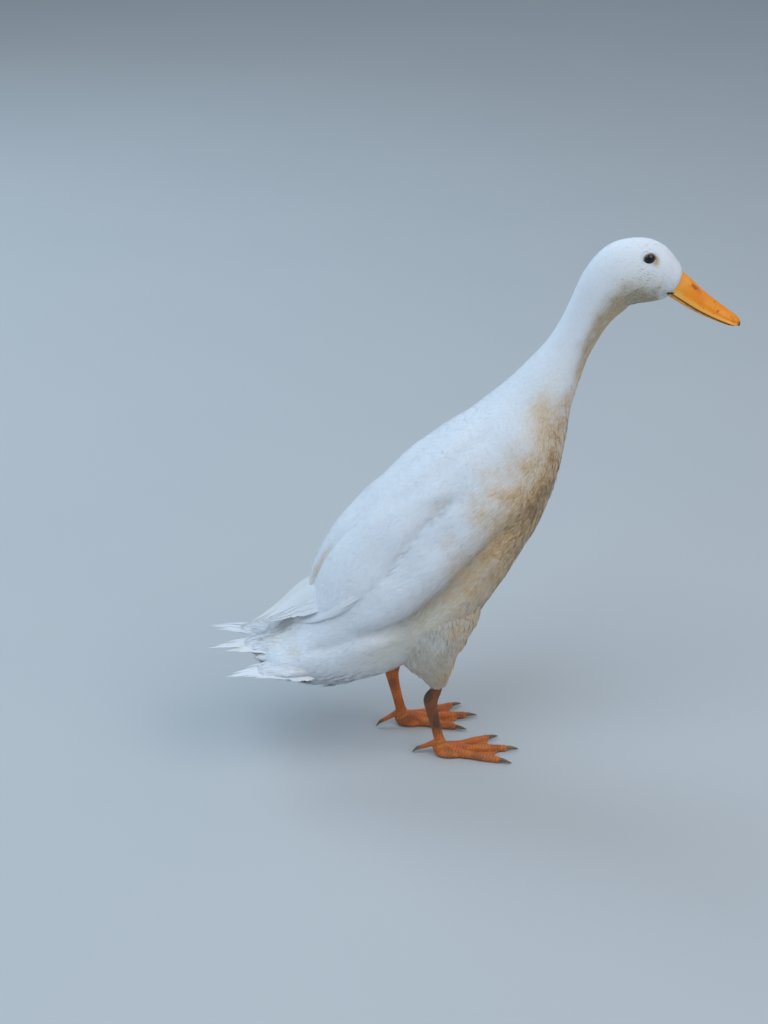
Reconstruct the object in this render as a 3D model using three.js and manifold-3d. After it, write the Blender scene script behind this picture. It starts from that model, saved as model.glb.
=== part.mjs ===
// An Indian Runner duck, a hen, as a still life-size model: three.js, millimetres.
// +X is where the bird faces, +Y is its left and +Z is up. The soles stand at Z = 0.
import * as THREE from 'three';
import { mergeVertices } from 'three/addons/utils/BufferGeometryUtils.js';
import Module from 'manifold-3d';

const wasm = await Module();
wasm.setup();

// ---- Driving dimensions --------------------------------------------------------------------

// The space between pieces that touch, and a length that passes the whole bird.
const GAP = 0.3;
const REACH = 600;

// The body from the rump to the bill's root. Each row is one section: its centre x and z, the
// slope of the spine there in degrees, its reach to the back and to the belly, its half width.
const BODY = [
  [-176, 95, -4, 8, 8, 30],
  [-160, 95, 0, 15, 15, 40],
  [-143, 98, 8, 25, 26, 46],
  [-122, 106, 20, 37, 40, 52],
  [-100, 120, 34, 49, 51, 56],
  [-76, 141, 44, 58, 60, 59],
  [-50, 167, 49, 63, 64, 61],
  [-24, 195, 50, 63, 61, 61],
  [0, 222, 51, 60, 55, 58],
  [20, 247, 54, 53, 47, 52],
  [36, 271, 58, 43, 37, 43],
  [47, 295, 61, 31, 28, 32],
  [58, 318, 61, 22, 22, 24],
  [69, 338, 60, 17, 18, 17.5],
  [79, 356, 60, 16, 17, 16],
  [88, 373, 56, 17.5, 19, 16],
  [98, 388, 42, 22, 23, 17.5],
  [110, 399, 18, 26, 25, 19],
  [125, 402, -6, 26, 26, 19],
  [138, 401, -16, 21.6, 25, 17.5],
  [149, 396, -25, 14.8, 19.5, 14.5],
  [156, 392, -30, 9.8, 13, 11.5],
];
const BODY_ENDS = [0.04, 0.03];
const BODY_MESH = [18, 50];

// Where the body is parted, as rows of BODY counted from the rump.
const BODY_PARTS = {
  rump: [0, 3.5],
  trunk: [3.5, 7.5],
  breast: [7.5, 10.6],
  neck_lower: [10.6, 13.1],
  neck_upper: [13.1, 15.7],
  head: [15.7, 21],
};

// A folded wing lies on the body's side. Its rows run from the tip to the shoulder: the place
// along BODY, the lower and the upper edge in degrees up the flank, the thickness it stands out.
const WING = [
  [1.7, 66, 86, 1.2],
  [2.6, 52, 87, 2.4],
  [3.5, 42, 87, 3.6],
  [4.5, 33, 86, 4.4],
  [5.5, 31, 84, 4.6],
  [6.5, 30, 80, 4.4],
  [7.6, 28, 74, 3.8],
  [8.7, 24, 66, 2.8],
  [9.8, 24, 52, 1.4],
];
const WING_SUNK = 7;
const FLANK_RADIUS = 50;
const WING_ENDS = [0.3, 0.25];
const WING_MESH = [10, 14];

// The tips of the longest wing feathers, laid over the rump: centre x, y and z from the tip
// forward, then half breadth and half depth.
const PRIMARIES = [
  [-178, 6, 117.5, 1.5, 0.8],
  [-166, 8, 117, 5, 1.6],
  [-152, 10, 122, 7.5, 2.2],
  [-138, 12, 132, 7, 2.2],
  [-126, 13, 143, 5, 1.8],
];
const PRIMARIES_ENDS = [0.02, 0.1];
const PRIMARIES_MESH = [8, 8];

// Three pointed sheaves of tail feathers: root and tip, half breadth and half depth at the root.
const TAIL = {
  left: { root: [-146, 25, 98], tip: [-211, 39, 96], half: 16, depth: 5.5 },
  middle: { root: [-146, 0, 103], tip: [-210, 0, 99], half: 21, depth: 6.5 },
  right: { root: [-142, -26, 92], tip: [-203, -39, 93], half: 18, depth: 6.5 },
};
const TAIL_ENDS = [0.12, 0.04];
const TAIL_MESH = [8, 9];
// How a sheaf narrows, how far it bows upwards, and how thin its tip is.
const SHEAF_TAPER = 1.6;
const SHEAF_BOW = 2;
const SHEAF_TIP = [1, 0.6];

const EYE = { centre: [128.6, 14.9, 416], half: [4.7, 3.1, 4.2], yaw: 8 };
const EYE_MESH = [10, 8];

// The bill: x and z of the line where its halves meet, the slope there, how far the half
// reaches over and under that line, and its half width.
const BILL_UPPER = [
  [140, 392, -35, 16, 1, 10],
  [149, 386.4, -35, 17.4, 1, 11.2],
  [160, 378.8, -34, 16.2, 0.9, 10.8],
  [171, 371.6, -31, 14, 0.8, 10.2],
  [185, 364.2, -26, 11.2, 0.7, 10.6],
  [198, 358.6, -21, 8.0, 0.7, 11.2],
  [204.5, 356.4, -18, 5.6, 0.8, 9],
  [208, 355.4, -18, 3.4, 0.8, 5],
];
const BILL_LOWER = [
  [140, 391, -35, 1, 3.6, 8.8],
  [149, 385.4, -35, 0.8, 3.7, 9.8],
  [160, 377.8, -34, 0.6, 3.2, 9.6],
  [171, 370.6, -31, 0.6, 2.8, 9.2],
  [185, 363.2, -26, 0.5, 2.2, 9.4],
  [197, 358, -21, 0.5, 1.9, 9.6],
  [204, 355.8, -18, 0.4, 1.4, 6.8],
];
const BILL_ENDS = [0.03, 0.05];
const BILL_MESH = [12, 12];
const NOSTRIL = { centre: [170, 5.6, 384.5], half: [3.6, 1.7, 1.5], pitch: 38 };
const NOSTRIL_MESH = [6, 4];

// One leg, drawn for the right side: rows of x, y, z, then half sizes fore and aft and across.
// The left foot stands a little further back, and its hip does not.
const STEP = -24;
const HIP_HEIGHT = 175;
const HOCK_HEIGHT = 66;
const THIGH = [
  [-45, 33, 168, 26, 14],
  [-38, 36, 146, 37, 19],
  [-41, 37, 122, 33, 20],
  [-41, 35.5, 101, 25, 17],
  [-37, 32.5, 85, 16, 12],
  [-34.5, 30, 73, 9.5, 8.8],
  [-33.5, 28.6, 65, 6, 6],
];
const SHANK = [
  [-32.5, 28.3, 76, 4.2, 3.8],
  [-34.5, 28, 62, 4.4, 4],
  [-39, 28, 53, 6, 5],
  [-38.5, 28, 44, 5, 4.2],
  [-35.5, 28, 30, 4.2, 3.4],
  [-32.5, 28, 17, 4.2, 3.4],
  [-30, 28, 8, 5.4, 4.6],
];
const THIGH_ENDS = [0.15, 0.04];
const SHANK_ENDS = [0.08, 0.08];
const LEG_MESH = [10, 11];

// Each front toe: its turn outwards in degrees, its length and its half width at the root.
const TOES = { inner: [-22, 47, 3.6], middle: [2, 56, 4], outer: [24, 51, 3.6] };
// Along a toe: the share of its length, the height of its middle, its share of the half width.
const TOE_JOINTS = [
  [0, 6, 1.1],
  [0.18, 4.6, 0.95],
  [0.36, 3.4, 1.05],
  [0.52, 3, 0.85],
  [0.7, 2.8, 0.98],
  [0.85, 2.4, 0.8],
  [1, 2.2, 0.72],
];
const TOE_SOLE = 0.5;
const TOE_ENDS = [0.06, 0.1];
const TOE_MESH = [6, 9];
// The joint over the foot and the palm that the toes spread from: x ahead of the ankle, z.
const PADS = [
  { ahead: 0, height: 6, half: [7, 5.4, 6.4] },
  { ahead: 9, height: 2.5, half: [15, 10, 5] },
];
// The web: how thick it is, and how far along the toes it is fixed and scalloped.
const WEB_THICK = 1.6;
const WEB_END = 0.93;
const WEB_BOW = 0.8;
// The hind toe: back from the ankle, inwards from it, height and half width.
const HIND_TOE = [
  [2, 0.4, 12, 3],
  [8, 1.6, 9.5, 2.4],
  [14, 2.8, 7, 1.9],
  [18, 3.6, 5.6, 1.7],
];
const HIND_ENDS = [0.1, 0.1];
// A claw: the share of its length, how far it has come down, and its half width.
const CLAW_LENGTH = 9;
const HIND_CLAW_LENGTH = 5.5;
const CLAW_ROOT = 2.6;
const CLAW_TIP = 0.8;
const CLAW_ROWS = [
  [-0.15, 0, 1.5],
  [0.2, 0, 1.5],
  [0.6, 0.35, 1.1],
  [1, 1, 0.45],
];
const CLAW_ENDS = [0.05, 0.05];
const CLAW_MESH = [5, 4];

// ---- Curves and solids ---------------------------------------------------------------------

const radians = THREE.MathUtils.degToRad;

// The row at a place counted in rows, on smooth curves through every row.
function rowAt(rows, place) {
  const last = rows.length - 1;
  const held = THREE.MathUtils.clamp(place, 0, last);
  const i = Math.min(Math.floor(held), last - 1);
  const f = held - i;
  return rows[i].map((b, k) => {
    const c = rows[i + 1][k];
    const a = i > 0 ? rows[i - 1][k] : 2 * b - c;
    const d = i + 2 <= last ? rows[i + 2][k] : 2 * c - b;
    const bend = (c - a) / 2 * (f ** 3 - 2 * f ** 2 + f) + (d - b) / 2 * (f ** 3 - f ** 2);
    return b + (c - b) * (3 * f ** 2 - 2 * f ** 3) + bend;
  });
}

// How much of its full section a form has at a share of its length, with round ends.
function roundEnds(share, [first, last]) {
  const start = 1 - Math.min(share / first, 1);
  const end = 1 - Math.min((1 - share) / last, 1);
  return Math.sqrt(Math.max(1 - start ** 2, 0) * Math.max(1 - end ** 2, 0));
}

// A closed surface: the grid of a sphere, with each point put where place(turn, share) says.
// turn goes once round in radians, and share runs from one pole to the other.
function surface([around, along], place) {
  const geometry = new THREE.SphereGeometry(1, around, along);
  const { position, uv } = geometry.attributes;
  for (let i = 0; i < position.count; i++) {
    const turn = (uv.getX(i) % 1) * 2 * Math.PI;
    const point = place(turn, THREE.MathUtils.clamp(1 - uv.getY(i), 0, 1));
    position.setXYZ(i, point.x, point.y, point.z);
  }
  return solid(geometry);
}

// A solid from a closed geometry, turned right side out if its form was laid out mirrored.
function solid(geometry) {
  geometry.deleteAttribute('normal');
  geometry.deleteAttribute('uv');
  const merged = mergeVertices(geometry);
  const corners = Array.from(merged.index.array);
  const points = merged.attributes.position;
  const [a, b, c] = [new THREE.Vector3(), new THREE.Vector3(), new THREE.Vector3()];
  let volume = 0;
  const triVerts = [];
  for (let i = 0; i < corners.length; i += 3) {
    const [p, q, r] = corners.slice(i, i + 3);
    if (p === q || q === r || r === p) continue;
    triVerts.push(p, q, r);
    volume += a.fromBufferAttribute(points, p).dot(
      b.fromBufferAttribute(points, q).cross(c.fromBufferAttribute(points, r)));
  }
  if (volume < 0) triVerts.reverse();
  const mesh = new wasm.Mesh({
    numProp: 3, vertProperties: points.array, triVerts: new Uint32Array(triVerts) });
  return new wasm.Manifold(mesh);
}

// A form whose sections stand across a spine in the bird's middle plane, as BODY's rows give.
function spineForm(rows, mesh, ends, grow = 0) {
  return surface(mesh, (turn, share) => {
    const size = roundEnds(share, ends);
    const place = share * (rows.length - 1);
    return sectionPoint(rows, place, turn, size, grow);
  });
}

// The point at a turn round one section: 0 is the left side and a quarter turn is the back.
function sectionPoint(rows, place, turn, size = 1, grow = 0) {
  const [x, z, slope, up, down, half] = rowAt(rows, place);
  const rise = Math.sin(turn);
  const reach = ((rise > 0 ? up : down) + grow) * rise * size;
  const lean = radians(slope);
  return new THREE.Vector3(
    x - Math.sin(lean) * reach, (half + grow) * Math.cos(turn) * size, z + Math.cos(lean) * reach);
}

// A form along a path through rows of centre x, y, z and two half sizes: the first lies
// across the path in the upright plane, or flat across it, and the second square to that. What
// it grows by goes on its length as well.
function pathForm(rows, mesh, ends, { grow = 0, flat = false } = {}) {
  const ahead = 0.05;
  return surface(mesh, (turn, share) => {
    const place = share * (rows.length - 1);
    const [x, y, z, first, second] = rowAt(rows, place);
    const before = new THREE.Vector3(...rowAt(rows, place - ahead));
    const run = new THREE.Vector3(...rowAt(rows, place + ahead)).sub(before).normalize();
    const side = new THREE.Vector3(0, 1, 0).addScaledVector(run, -run.y).normalize();
    const other = new THREE.Vector3().crossVectors(side, run);
    const [wide, deep] = flat ? [side, other] : [other, side];
    const size = roundEnds(share, ends);
    return new THREE.Vector3(x, y, z)
      .addScaledVector(run, -grow * Math.cos(Math.PI * share))
      .addScaledVector(wide, (first + grow) * Math.cos(turn) * size)
      .addScaledVector(deep, (second + grow) * Math.sin(turn) * size);
  });
}

// The half of space on the far side of the plane across BODY at a place, moved by shift.
function beyond(place, shift, sign) {
  const [x, z, slope] = rowAt(BODY, place);
  const box = new THREE.BoxGeometry(2 * REACH, 2 * REACH, 2 * REACH);
  box.translate(sign * REACH + shift, 0, 0);
  box.rotateY(-radians(slope));
  box.translate(x, 0, z);
  return solid(box);
}

// All that lies over the floor.
function overFloor() {
  const box = new THREE.BoxGeometry(2 * REACH, 2 * REACH, 2 * REACH);
  box.translate(0, 0, REACH);
  return solid(box);
}

function mirrored(rows) {
  return rows.map(([x, y, ...rest]) => [x, -y, ...rest]);
}

// ---- The body, its wings and its tail ------------------------------------------------------

// A point over the body's flank: degrees run from 0 at the side up to 90 on the back.
function flankPoint(place, degrees, side, out) {
  const turn = (d) => radians(side > 0 ? d : 180 - d);
  const at = (p, d) => sectionPoint(BODY, p, turn(d));
  const point = at(place, degrees);
  const along = at(place + 0.05, degrees).sub(at(place - 0.05, degrees));
  const across = at(place, degrees + 1).sub(at(place, degrees - 1));
  const normal = new THREE.Vector3().crossVectors(across, along).normalize();
  return point.addScaledVector(normal, side * out);
}

// A folded wing: a shell lens that lies over the flank and is sunk a little way into it.
function wingForm(side, grow = 0) {
  const widen = grow / FLANK_RADIUS * THREE.MathUtils.RAD2DEG;
  return surface(WING_MESH, (turn, share) => {
    const place = share * (WING.length - 1);
    const [at, lower, upper, out] = rowAt(WING, place);
    const size = roundEnds(share, WING_ENDS);
    const middle = (lower + upper) / 2;
    const spread = ((upper - lower) / 2 + widen) * Math.cos(turn) * size;
    const thick = Math.sin(turn) * size * (turn < Math.PI ? out + grow : WING_SUNK + grow);
    return flankPoint(at, middle + spread, side, thick);
  });
}

function primariesForm(side, grow = 0) {
  const rows = side > 0 ? PRIMARIES : mirrored(PRIMARIES);
  return pathForm(rows, PRIMARIES_MESH, PRIMARIES_ENDS, { grow, flat: true });
}

// A sheaf of tail feathers: broad at its root, drawn out to a point and a little bowed.
function sheafForm({ root, tip, half, depth }, grow = 0) {
  const rows = [0, 0.2, 0.4, 0.6, 0.8, 1].map((share) => {
    const centre = root.map((v, k) => THREE.MathUtils.lerp(v, tip[k], share));
    centre[2] += SHEAF_BOW * Math.sin(Math.PI * share);
    const [breadth, thickness] = SHEAF_TIP;
    return [
      ...centre, half * (1 - share ** SHEAF_TAPER) + breadth, depth * (1 - share) + thickness];
  });
  return pathForm(rows, TAIL_MESH, TAIL_ENDS, { grow, flat: true });
}

// ---- The head ------------------------------------------------------------------------------

// An egg: a ball of three half sizes, turned outwards and tipped in degrees.
function eggForm({ centre, half, yaw = 0, pitch = 0 }, mesh, side, grow = 0) {
  const ball = new THREE.SphereGeometry(1, ...mesh);
  ball.scale(...half.map((v) => v + grow));
  ball.rotateY(radians(pitch));
  ball.rotateZ(-side * radians(yaw));
  ball.translate(centre[0], side * centre[1], centre[2]);
  return solid(ball);
}

// ---- The legs ------------------------------------------------------------------------------

// The right leg's pattern moved to one side, with the left leg swung back from its hip.
function legRows(rows, side) {
  const swing = side > 0 ? STEP : 0;
  return rows.map(([x, y, z, ...sizes]) => {
    const share = THREE.MathUtils.clamp((HIP_HEIGHT - z) / (HIP_HEIGHT - HOCK_HEIGHT), 0, 1);
    return [x + swing * share, side * y, z, ...sizes];
  });
}

// The place on the floor under a leg, from which its toes are set out.
function ankle(side) {
  const [x, y] = legRows(SHANK, side)[SHANK.length - 1];
  return new THREE.Vector3(x, y, 0);
}

// A point ahead of the ankle at a toe's turn, outwards from the bird's middle.
function toePoint(side, [turn], distance, height) {
  const out = radians(turn);
  return ankle(side).add(new THREE.Vector3(
    distance * Math.cos(out), side * distance * Math.sin(out), height));
}

// A front toe: a knuckled rod that comes down from the ankle and lies along the floor.
function toeForm(side, toe) {
  const [, length, half] = toe;
  const rows = TOE_JOINTS.map(([share, height, width]) => {
    const { x, y, z } = toePoint(side, toe, length * share, height);
    return [x, y, z, half * width, height + TOE_SOLE];
  });
  return pathForm(rows, TOE_MESH, TOE_ENDS, { flat: true });
}

// A claw: a short cone from a toe's end, bent down to just over the floor.
function clawForm(root, ahead, length, grow = 0) {
  const rows = CLAW_ROWS.map(([share, drop, half]) => {
    const { x, y, z } = root.clone().addScaledVector(ahead, share * length);
    return [x, y, z - drop * (root.z - CLAW_TIP), half, half];
  });
  return pathForm(rows, CLAW_MESH, CLAW_ENDS, { grow, flat: true });
}

// The web: a thin sheet on the floor between the toes, scalloped between their tips.
function webForm(side) {
  const at = (toe, share) => toePoint(side, toe, toe[1] * share, 0);
  const { inner, middle, outer } = TOES;
  const outline = new THREE.Shape();
  const start = at(middle, 0);
  outline.moveTo(start.x, start.y);
  const first = at(inner, WEB_END);
  outline.lineTo(first.x, first.y);
  for (const [near, far] of [[inner, middle], [middle, outer]]) {
    const bow = at(near, WEB_BOW).add(at(far, WEB_BOW)).multiplyScalar(0.5);
    const end = at(far, WEB_END);
    outline.quadraticCurveTo(bow.x, bow.y, end.x, end.y);
  }
  outline.closePath();
  return solid(new THREE.ExtrudeGeometry(outline, {
    depth: WEB_THICK, bevelEnabled: false, curveSegments: 8 }));
}

// A point behind the ankle, on the line of the hind toe.
function heelPoint(side, [back, inwards, height]) {
  return ankle(side).add(new THREE.Vector3(-back, -side * inwards, height));
}

// The hind toe sits a little above the floor behind the ankle.
function hindToeForm(side) {
  const rows = HIND_TOE.map((row) => {
    const half = row[3];
    return [...heelPoint(side, row).toArray(), half, half];
  });
  return pathForm(rows, TOE_MESH, HIND_ENDS);
}

function padForm(side, { ahead, height, half }) {
  const pad = new THREE.SphereGeometry(1, ...EYE_MESH);
  pad.scale(...half);
  const { x, y } = ankle(side);
  pad.translate(x + ahead, y, height);
  return solid(pad);
}

function footForm(side) {
  const toes = Object.values(TOES).map((toe) => toeForm(side, toe));
  const pads = PADS.map((pad) => padForm(side, pad));
  const pieces = [...pads, ...toes, webForm(side), hindToeForm(side)];
  return pieces.reduce((sum, piece) => sum.add(piece)).intersect(overFloor());
}

// The claws of one foot: those of the front toes, then the hind toe's.
function clawForms(side, grow = 0) {
  const front = Object.values(TOES).map((toe) => {
    const root = toePoint(side, toe, toe[1], CLAW_ROOT);
    const ahead = toePoint(side, toe, 1, 0).sub(ankle(side));
    return clawForm(root, ahead, CLAW_LENGTH, grow);
  });
  const [before, last] = HIND_TOE.slice(-2).map((row) => heelPoint(side, row));
  const back = last.clone().sub(before).setZ(0).normalize();
  return [...front, clawForm(last, back, HIND_CLAW_LENGTH, grow)];
}

// ---- The bird ------------------------------------------------------------------------------

const SIDES = { left: 1, right: -1 };

const FINISH = {
  plumage: { color: 0xf2f2f0, roughness: 0.9, metalness: 0 },
  bill: { color: 0xf39a26, roughness: 0.5, metalness: 0 },
  leg: { color: 0xe0642a, roughness: 0.55, metalness: 0 },
  claw: { color: 0x6b4a35, roughness: 0.5, metalness: 0 },
  eye: { color: 0x15171c, roughness: 0.1, metalness: 0 },
};

const bird = new THREE.Group();

function add(name, form, finish) {
  const { vertProperties, triVerts } = form.getMesh();
  const geometry = new THREE.BufferGeometry();
  geometry.setAttribute('position', new THREE.BufferAttribute(vertProperties, 3));
  geometry.setIndex(new THREE.BufferAttribute(triVerts, 1));
  geometry.computeVertexNormals();
  const mesh = new THREE.Mesh(geometry, new THREE.MeshStandardMaterial(FINISH[finish]));
  mesh.name = name;
  bird.add(mesh);
}

// The whole body in one piece, with a bed cut in it for everything that is set into it.
let body = spineForm(BODY, BODY_MESH, BODY_ENDS);
const bed = (form) => {
  body = body.subtract(form);
};

const billUpper = (grow) => spineForm(BILL_UPPER, BILL_MESH, BILL_ENDS, grow);
const billLower = (grow) => spineForm(BILL_LOWER, BILL_MESH, BILL_ENDS, grow);
bed(billUpper(GAP));
bed(billLower(GAP));
bed(sheafForm(TAIL.middle, GAP));

for (const [sideName, side] of Object.entries(SIDES)) {
  const wingBed = wingForm(side, GAP);
  const thigh = pathForm(legRows(THIGH, side), LEG_MESH, THIGH_ENDS);
  const shank = pathForm(legRows(SHANK, side), LEG_MESH, SHANK_ENDS);
  const shankBed = pathForm(legRows(SHANK, side), LEG_MESH, SHANK_ENDS, { grow: GAP });
  const sheaf = sheafForm(TAIL[sideName]).subtract(sheafForm(TAIL.middle, GAP));
  const claws = clawForms(side);
  const foot = clawForms(side, GAP).reduce((left, claw) => left.subtract(claw), footForm(side));

  add(`wing_${sideName}`, wingForm(side), 'plumage');
  add(`primaries_${sideName}`, primariesForm(side).subtract(wingBed), 'plumage');
  add(`thigh_${sideName}`, thigh.subtract(wingBed).subtract(shankBed), 'plumage');
  add(`shank_${sideName}`, shank, 'leg');
  add(`foot_${sideName}`, foot.subtract(shankBed), 'leg');
  claws.forEach((claw, i) => add(`claw_${sideName}_${i + 1}`, claw, 'claw'));
  add(`tail_feathers_${sideName}`, sheaf, 'plumage');
  add(`eye_${sideName}`, eggForm(EYE, EYE_MESH, side), 'eye');

  bed(wingBed);
  bed(primariesForm(side, GAP));
  bed(pathForm(legRows(THIGH, side), LEG_MESH, THIGH_ENDS, { grow: GAP }));
  bed(sheafForm(TAIL[sideName], GAP));
  bed(eggForm(EYE, EYE_MESH, side, GAP));
}

add('tail_feathers_middle', sheafForm(TAIL.middle), 'plumage');
const nostrils = Object.values(SIDES).map((side) => eggForm(NOSTRIL, NOSTRIL_MESH, side));
add('bill_upper', nostrils.reduce((left, hole) => left.subtract(hole), billUpper(0)), 'bill');
add('bill_lower', billLower(0).subtract(billUpper(GAP)), 'bill');

for (const [name, [from, to]] of Object.entries(BODY_PARTS)) {
  let part = body;
  if (from > 0) part = part.intersect(beyond(from, GAP / 2, 1));
  if (to < BODY.length - 1) part = part.intersect(beyond(to, -GAP / 2, -1));
  add(name, part, 'plumage');
}

// The origin is on the floor, under the middle of the bird's outline.
const outline = new THREE.Box3().setFromObject(bird);
const middle = outline.getCenter(new THREE.Vector3());
bird.position.set(-middle.x, -middle.y, -outline.min.z);

export default bird;
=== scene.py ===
"""An Indian Runner duck, a hen, as a still life-size model: skin, bill, eyes, legs and plumage.

The frame is in metres: +X is where the bird faces, +Y is its left, +Z is up and the soles are on
Z = 0. The tables are drawn in millimetres, and `placed` sets them in the frame.
"""

import bpy
import numpy as np
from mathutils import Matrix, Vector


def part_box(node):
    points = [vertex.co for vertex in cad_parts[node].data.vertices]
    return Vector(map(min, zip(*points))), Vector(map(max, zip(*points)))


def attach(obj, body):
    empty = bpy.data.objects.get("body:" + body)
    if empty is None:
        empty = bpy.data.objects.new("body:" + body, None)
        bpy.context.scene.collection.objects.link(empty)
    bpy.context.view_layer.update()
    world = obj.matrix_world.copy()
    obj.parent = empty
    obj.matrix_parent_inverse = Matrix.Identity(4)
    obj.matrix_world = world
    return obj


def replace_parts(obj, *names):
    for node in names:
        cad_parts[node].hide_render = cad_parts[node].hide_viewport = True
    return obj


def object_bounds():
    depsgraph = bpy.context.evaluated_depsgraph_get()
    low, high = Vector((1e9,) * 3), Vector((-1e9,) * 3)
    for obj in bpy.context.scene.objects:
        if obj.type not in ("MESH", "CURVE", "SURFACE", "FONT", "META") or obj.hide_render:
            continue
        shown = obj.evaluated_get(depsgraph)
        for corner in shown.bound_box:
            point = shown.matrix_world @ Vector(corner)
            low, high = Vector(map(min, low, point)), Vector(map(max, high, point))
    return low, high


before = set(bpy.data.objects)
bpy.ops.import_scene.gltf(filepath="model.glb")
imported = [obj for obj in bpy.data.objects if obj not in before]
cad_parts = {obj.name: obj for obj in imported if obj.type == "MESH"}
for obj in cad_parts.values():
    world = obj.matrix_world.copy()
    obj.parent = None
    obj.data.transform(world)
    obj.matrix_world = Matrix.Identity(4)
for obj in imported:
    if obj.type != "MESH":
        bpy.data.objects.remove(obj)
cad_low, cad_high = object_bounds()

# ---- The bird's own sizes, millimetres and degrees -----------------------------------------

MM = 0.001

# The body from the rump to the bill's root. Each row is one section: its centre x and z, the
# slope of the spine there, its reach to the back and to the belly, its half width.
BODY = [
    [-176, 95, -4, 8, 8, 30],
    [-160, 95, 0, 15, 15, 40],
    [-143, 98, 8, 25, 26, 46],
    [-122, 106, 20, 37, 40, 52],
    [-100, 120, 34, 49, 51, 56],
    [-76, 141, 44, 58, 60, 59],
    [-50, 167, 49, 63, 64, 61],
    [-24, 195, 50, 63, 61, 61],
    [0, 222, 51, 60, 55, 58],
    [20, 247, 54, 53, 47, 52],
    [36, 271, 58, 43, 37, 43],
    [47, 295, 61, 31, 28, 32],
    [58, 318, 61, 22, 22, 24],
    [69, 338, 60, 17, 18, 17.5],
    [79, 356, 60, 16, 17, 16],
    [88, 373, 56, 17.5, 19, 16],
    [98, 388, 42, 22, 23, 17.5],
    [110, 399, 18, 26, 25, 19],
    [125, 402, -6, 26, 26, 19],
    [138, 401, -16, 21.6, 25, 17.5],
    [149, 396, -25, 14.8, 19.5, 14.5],
    [156, 392, -30, 9.8, 13, 11.5],
]
BODY_ENDS = (0.04, 0.03)
BODY_LAST = len(BODY) - 1

# The folded wing on the flank: place along BODY, lower edge, how far it stands out.
WING = [
    [1.4, 84, 0.5],
    [2.25, 65, 1.6],
    [2.9, 51, 2.6],
    [3.6, 40, 3.6],
    [4.25, 33, 4.3],
    [4.9, 30, 4.6],
    [5.6, 31, 4.6],
    [6.5, 31, 4.2],
    [7.6, 30, 3.2],
    [8.7, 26, 2.0],
    [9.8, 24, 0.6],
]
# The line down the back where the wings meet: place, degrees round from the left side.
WINGS_MEET = [[1.4, 81], [3.5, 88], [5.7, 97], [7.5, 92], [9.8, 90]]

# An eye: its middle, its half sizes ahead, out and up, the half sizes of the opening that stays
# clear of the coat, and the degrees that it looks ahead.
EYE = {
    "centre": (128.6, 14.9, 416),
    "half": (4.7, 3.1, 4.2),
    "clear": (5.3, 4.7),
    "yaw": 8,
}

# The bill: x and z of the line where its halves meet, the slope, reach over and under, half width.
BILL_UPPER = [
    [140, 392, -35, 16, 1, 10],
    [149, 386.4, -35, 17.4, 1, 11.2],
    [160, 378.8, -34, 16.2, 0.9, 10.8],
    [171, 371.6, -31, 14, 0.8, 10.2],
    [185, 364.2, -26, 11.2, 0.7, 10.6],
    [198, 358.6, -21, 8.0, 0.7, 11.2],
    [204.5, 356.4, -18, 5.6, 0.8, 9],
    [208, 355.4, -18, 3.4, 0.8, 5],
]
BILL_LOWER = [
    [140, 391, -35, 1, 3.6, 8.8],
    [149, 385.4, -35, 0.8, 3.7, 9.8],
    [160, 377.8, -34, 0.6, 3.2, 9.6],
    [171, 370.6, -31, 0.6, 2.8, 9.2],
    [185, 363.2, -26, 0.5, 2.2, 9.4],
    [197, 358, -21, 0.5, 1.9, 9.6],
    [204, 355.8, -18, 0.4, 1.4, 6.8],
]
BILL_ENDS = (0.03, 0.05)

# One leg, drawn for the right side: x, y, z, then half sizes fore and aft and across.
STEP = -24
HIP_HEIGHT = 175
HOCK_HEIGHT = 66
THIGH = [
    [-45, 33, 168, 26, 14],
    [-38, 36, 146, 37, 19],
    [-41, 37, 122, 33, 20],
    [-41, 35.5, 101, 25, 17],
    [-37, 32.5, 85, 16, 12],
    [-34.5, 30, 73, 9.5, 8.8],
    [-33.5, 28.6, 65, 6, 6],
]
THIGH_ENDS = (0.15, 0.04)
SHANK = [
    [-32.5, 28.3, 76, 4.2, 3.8],
    [-34.5, 28, 62, 4.4, 4],
    [-39, 28, 53, 6, 5],
    [-38.5, 28, 44, 5, 4.2],
    [-35.5, 28, 30, 4.2, 3.4],
    [-32.5, 28, 17, 4.2, 3.4],
    [-30, 28, 8, 5.4, 4.6],
]
SHANK_ENDS = (0.08, 0.08)

# Each front toe: its turn outwards, its length and its half width at the root.
TOES = {"inner": (-22, 47, 3.6), "middle": (2, 56, 4.0), "outer": (24, 51, 3.6)}
# Along a toe: the share of its length, the height of its middle, its share of the half width.
TOE_JOINTS = [
    [0, 6, 1.1],
    [0.18, 4.6, 0.95],
    [0.36, 3.4, 1.05],
    [0.52, 3, 0.85],
    [0.7, 2.8, 0.98],
    [0.85, 2.4, 0.8],
    [1, 2.2, 0.72],
]
# The hind toe: back from the ankle, inwards from it, height and half width.
HIND_TOE = [[2, 0.4, 12, 3], [8, 1.6, 9.5, 2.4], [14, 2.8, 7, 1.9], [18, 3.6, 5.6, 1.7]]

# Three sheaves of tail feathers: root, tip, half breadth at the root, number and yellow.
TAIL = {
    "left": ((-146, 25, 98), (-220, 41, 96), 16, 8, 0.75),
    "middle": ((-146, 0, 101), (-220, 0, 97), 22, 9, 0.35),
    "right": ((-142, -26, 93), (-210, -41, 91), 22, 9, 0.25),
}

# The plumes under and between the tail's sheaves: root, tip, half breadth, depth and yellow.
UNDER_TAIL = (
    ((-136, -6, 84), (-186, -14, 92), 30, 15, 0.05),
    ((-134, -15, 96), (-213, -16, 95), 15, 14, 1.3),
    ((-134, 14, 96), (-190, 22, 96), 14, 12, 0.6),
)

SIDES = {"left": 1, "right": -1}


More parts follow.
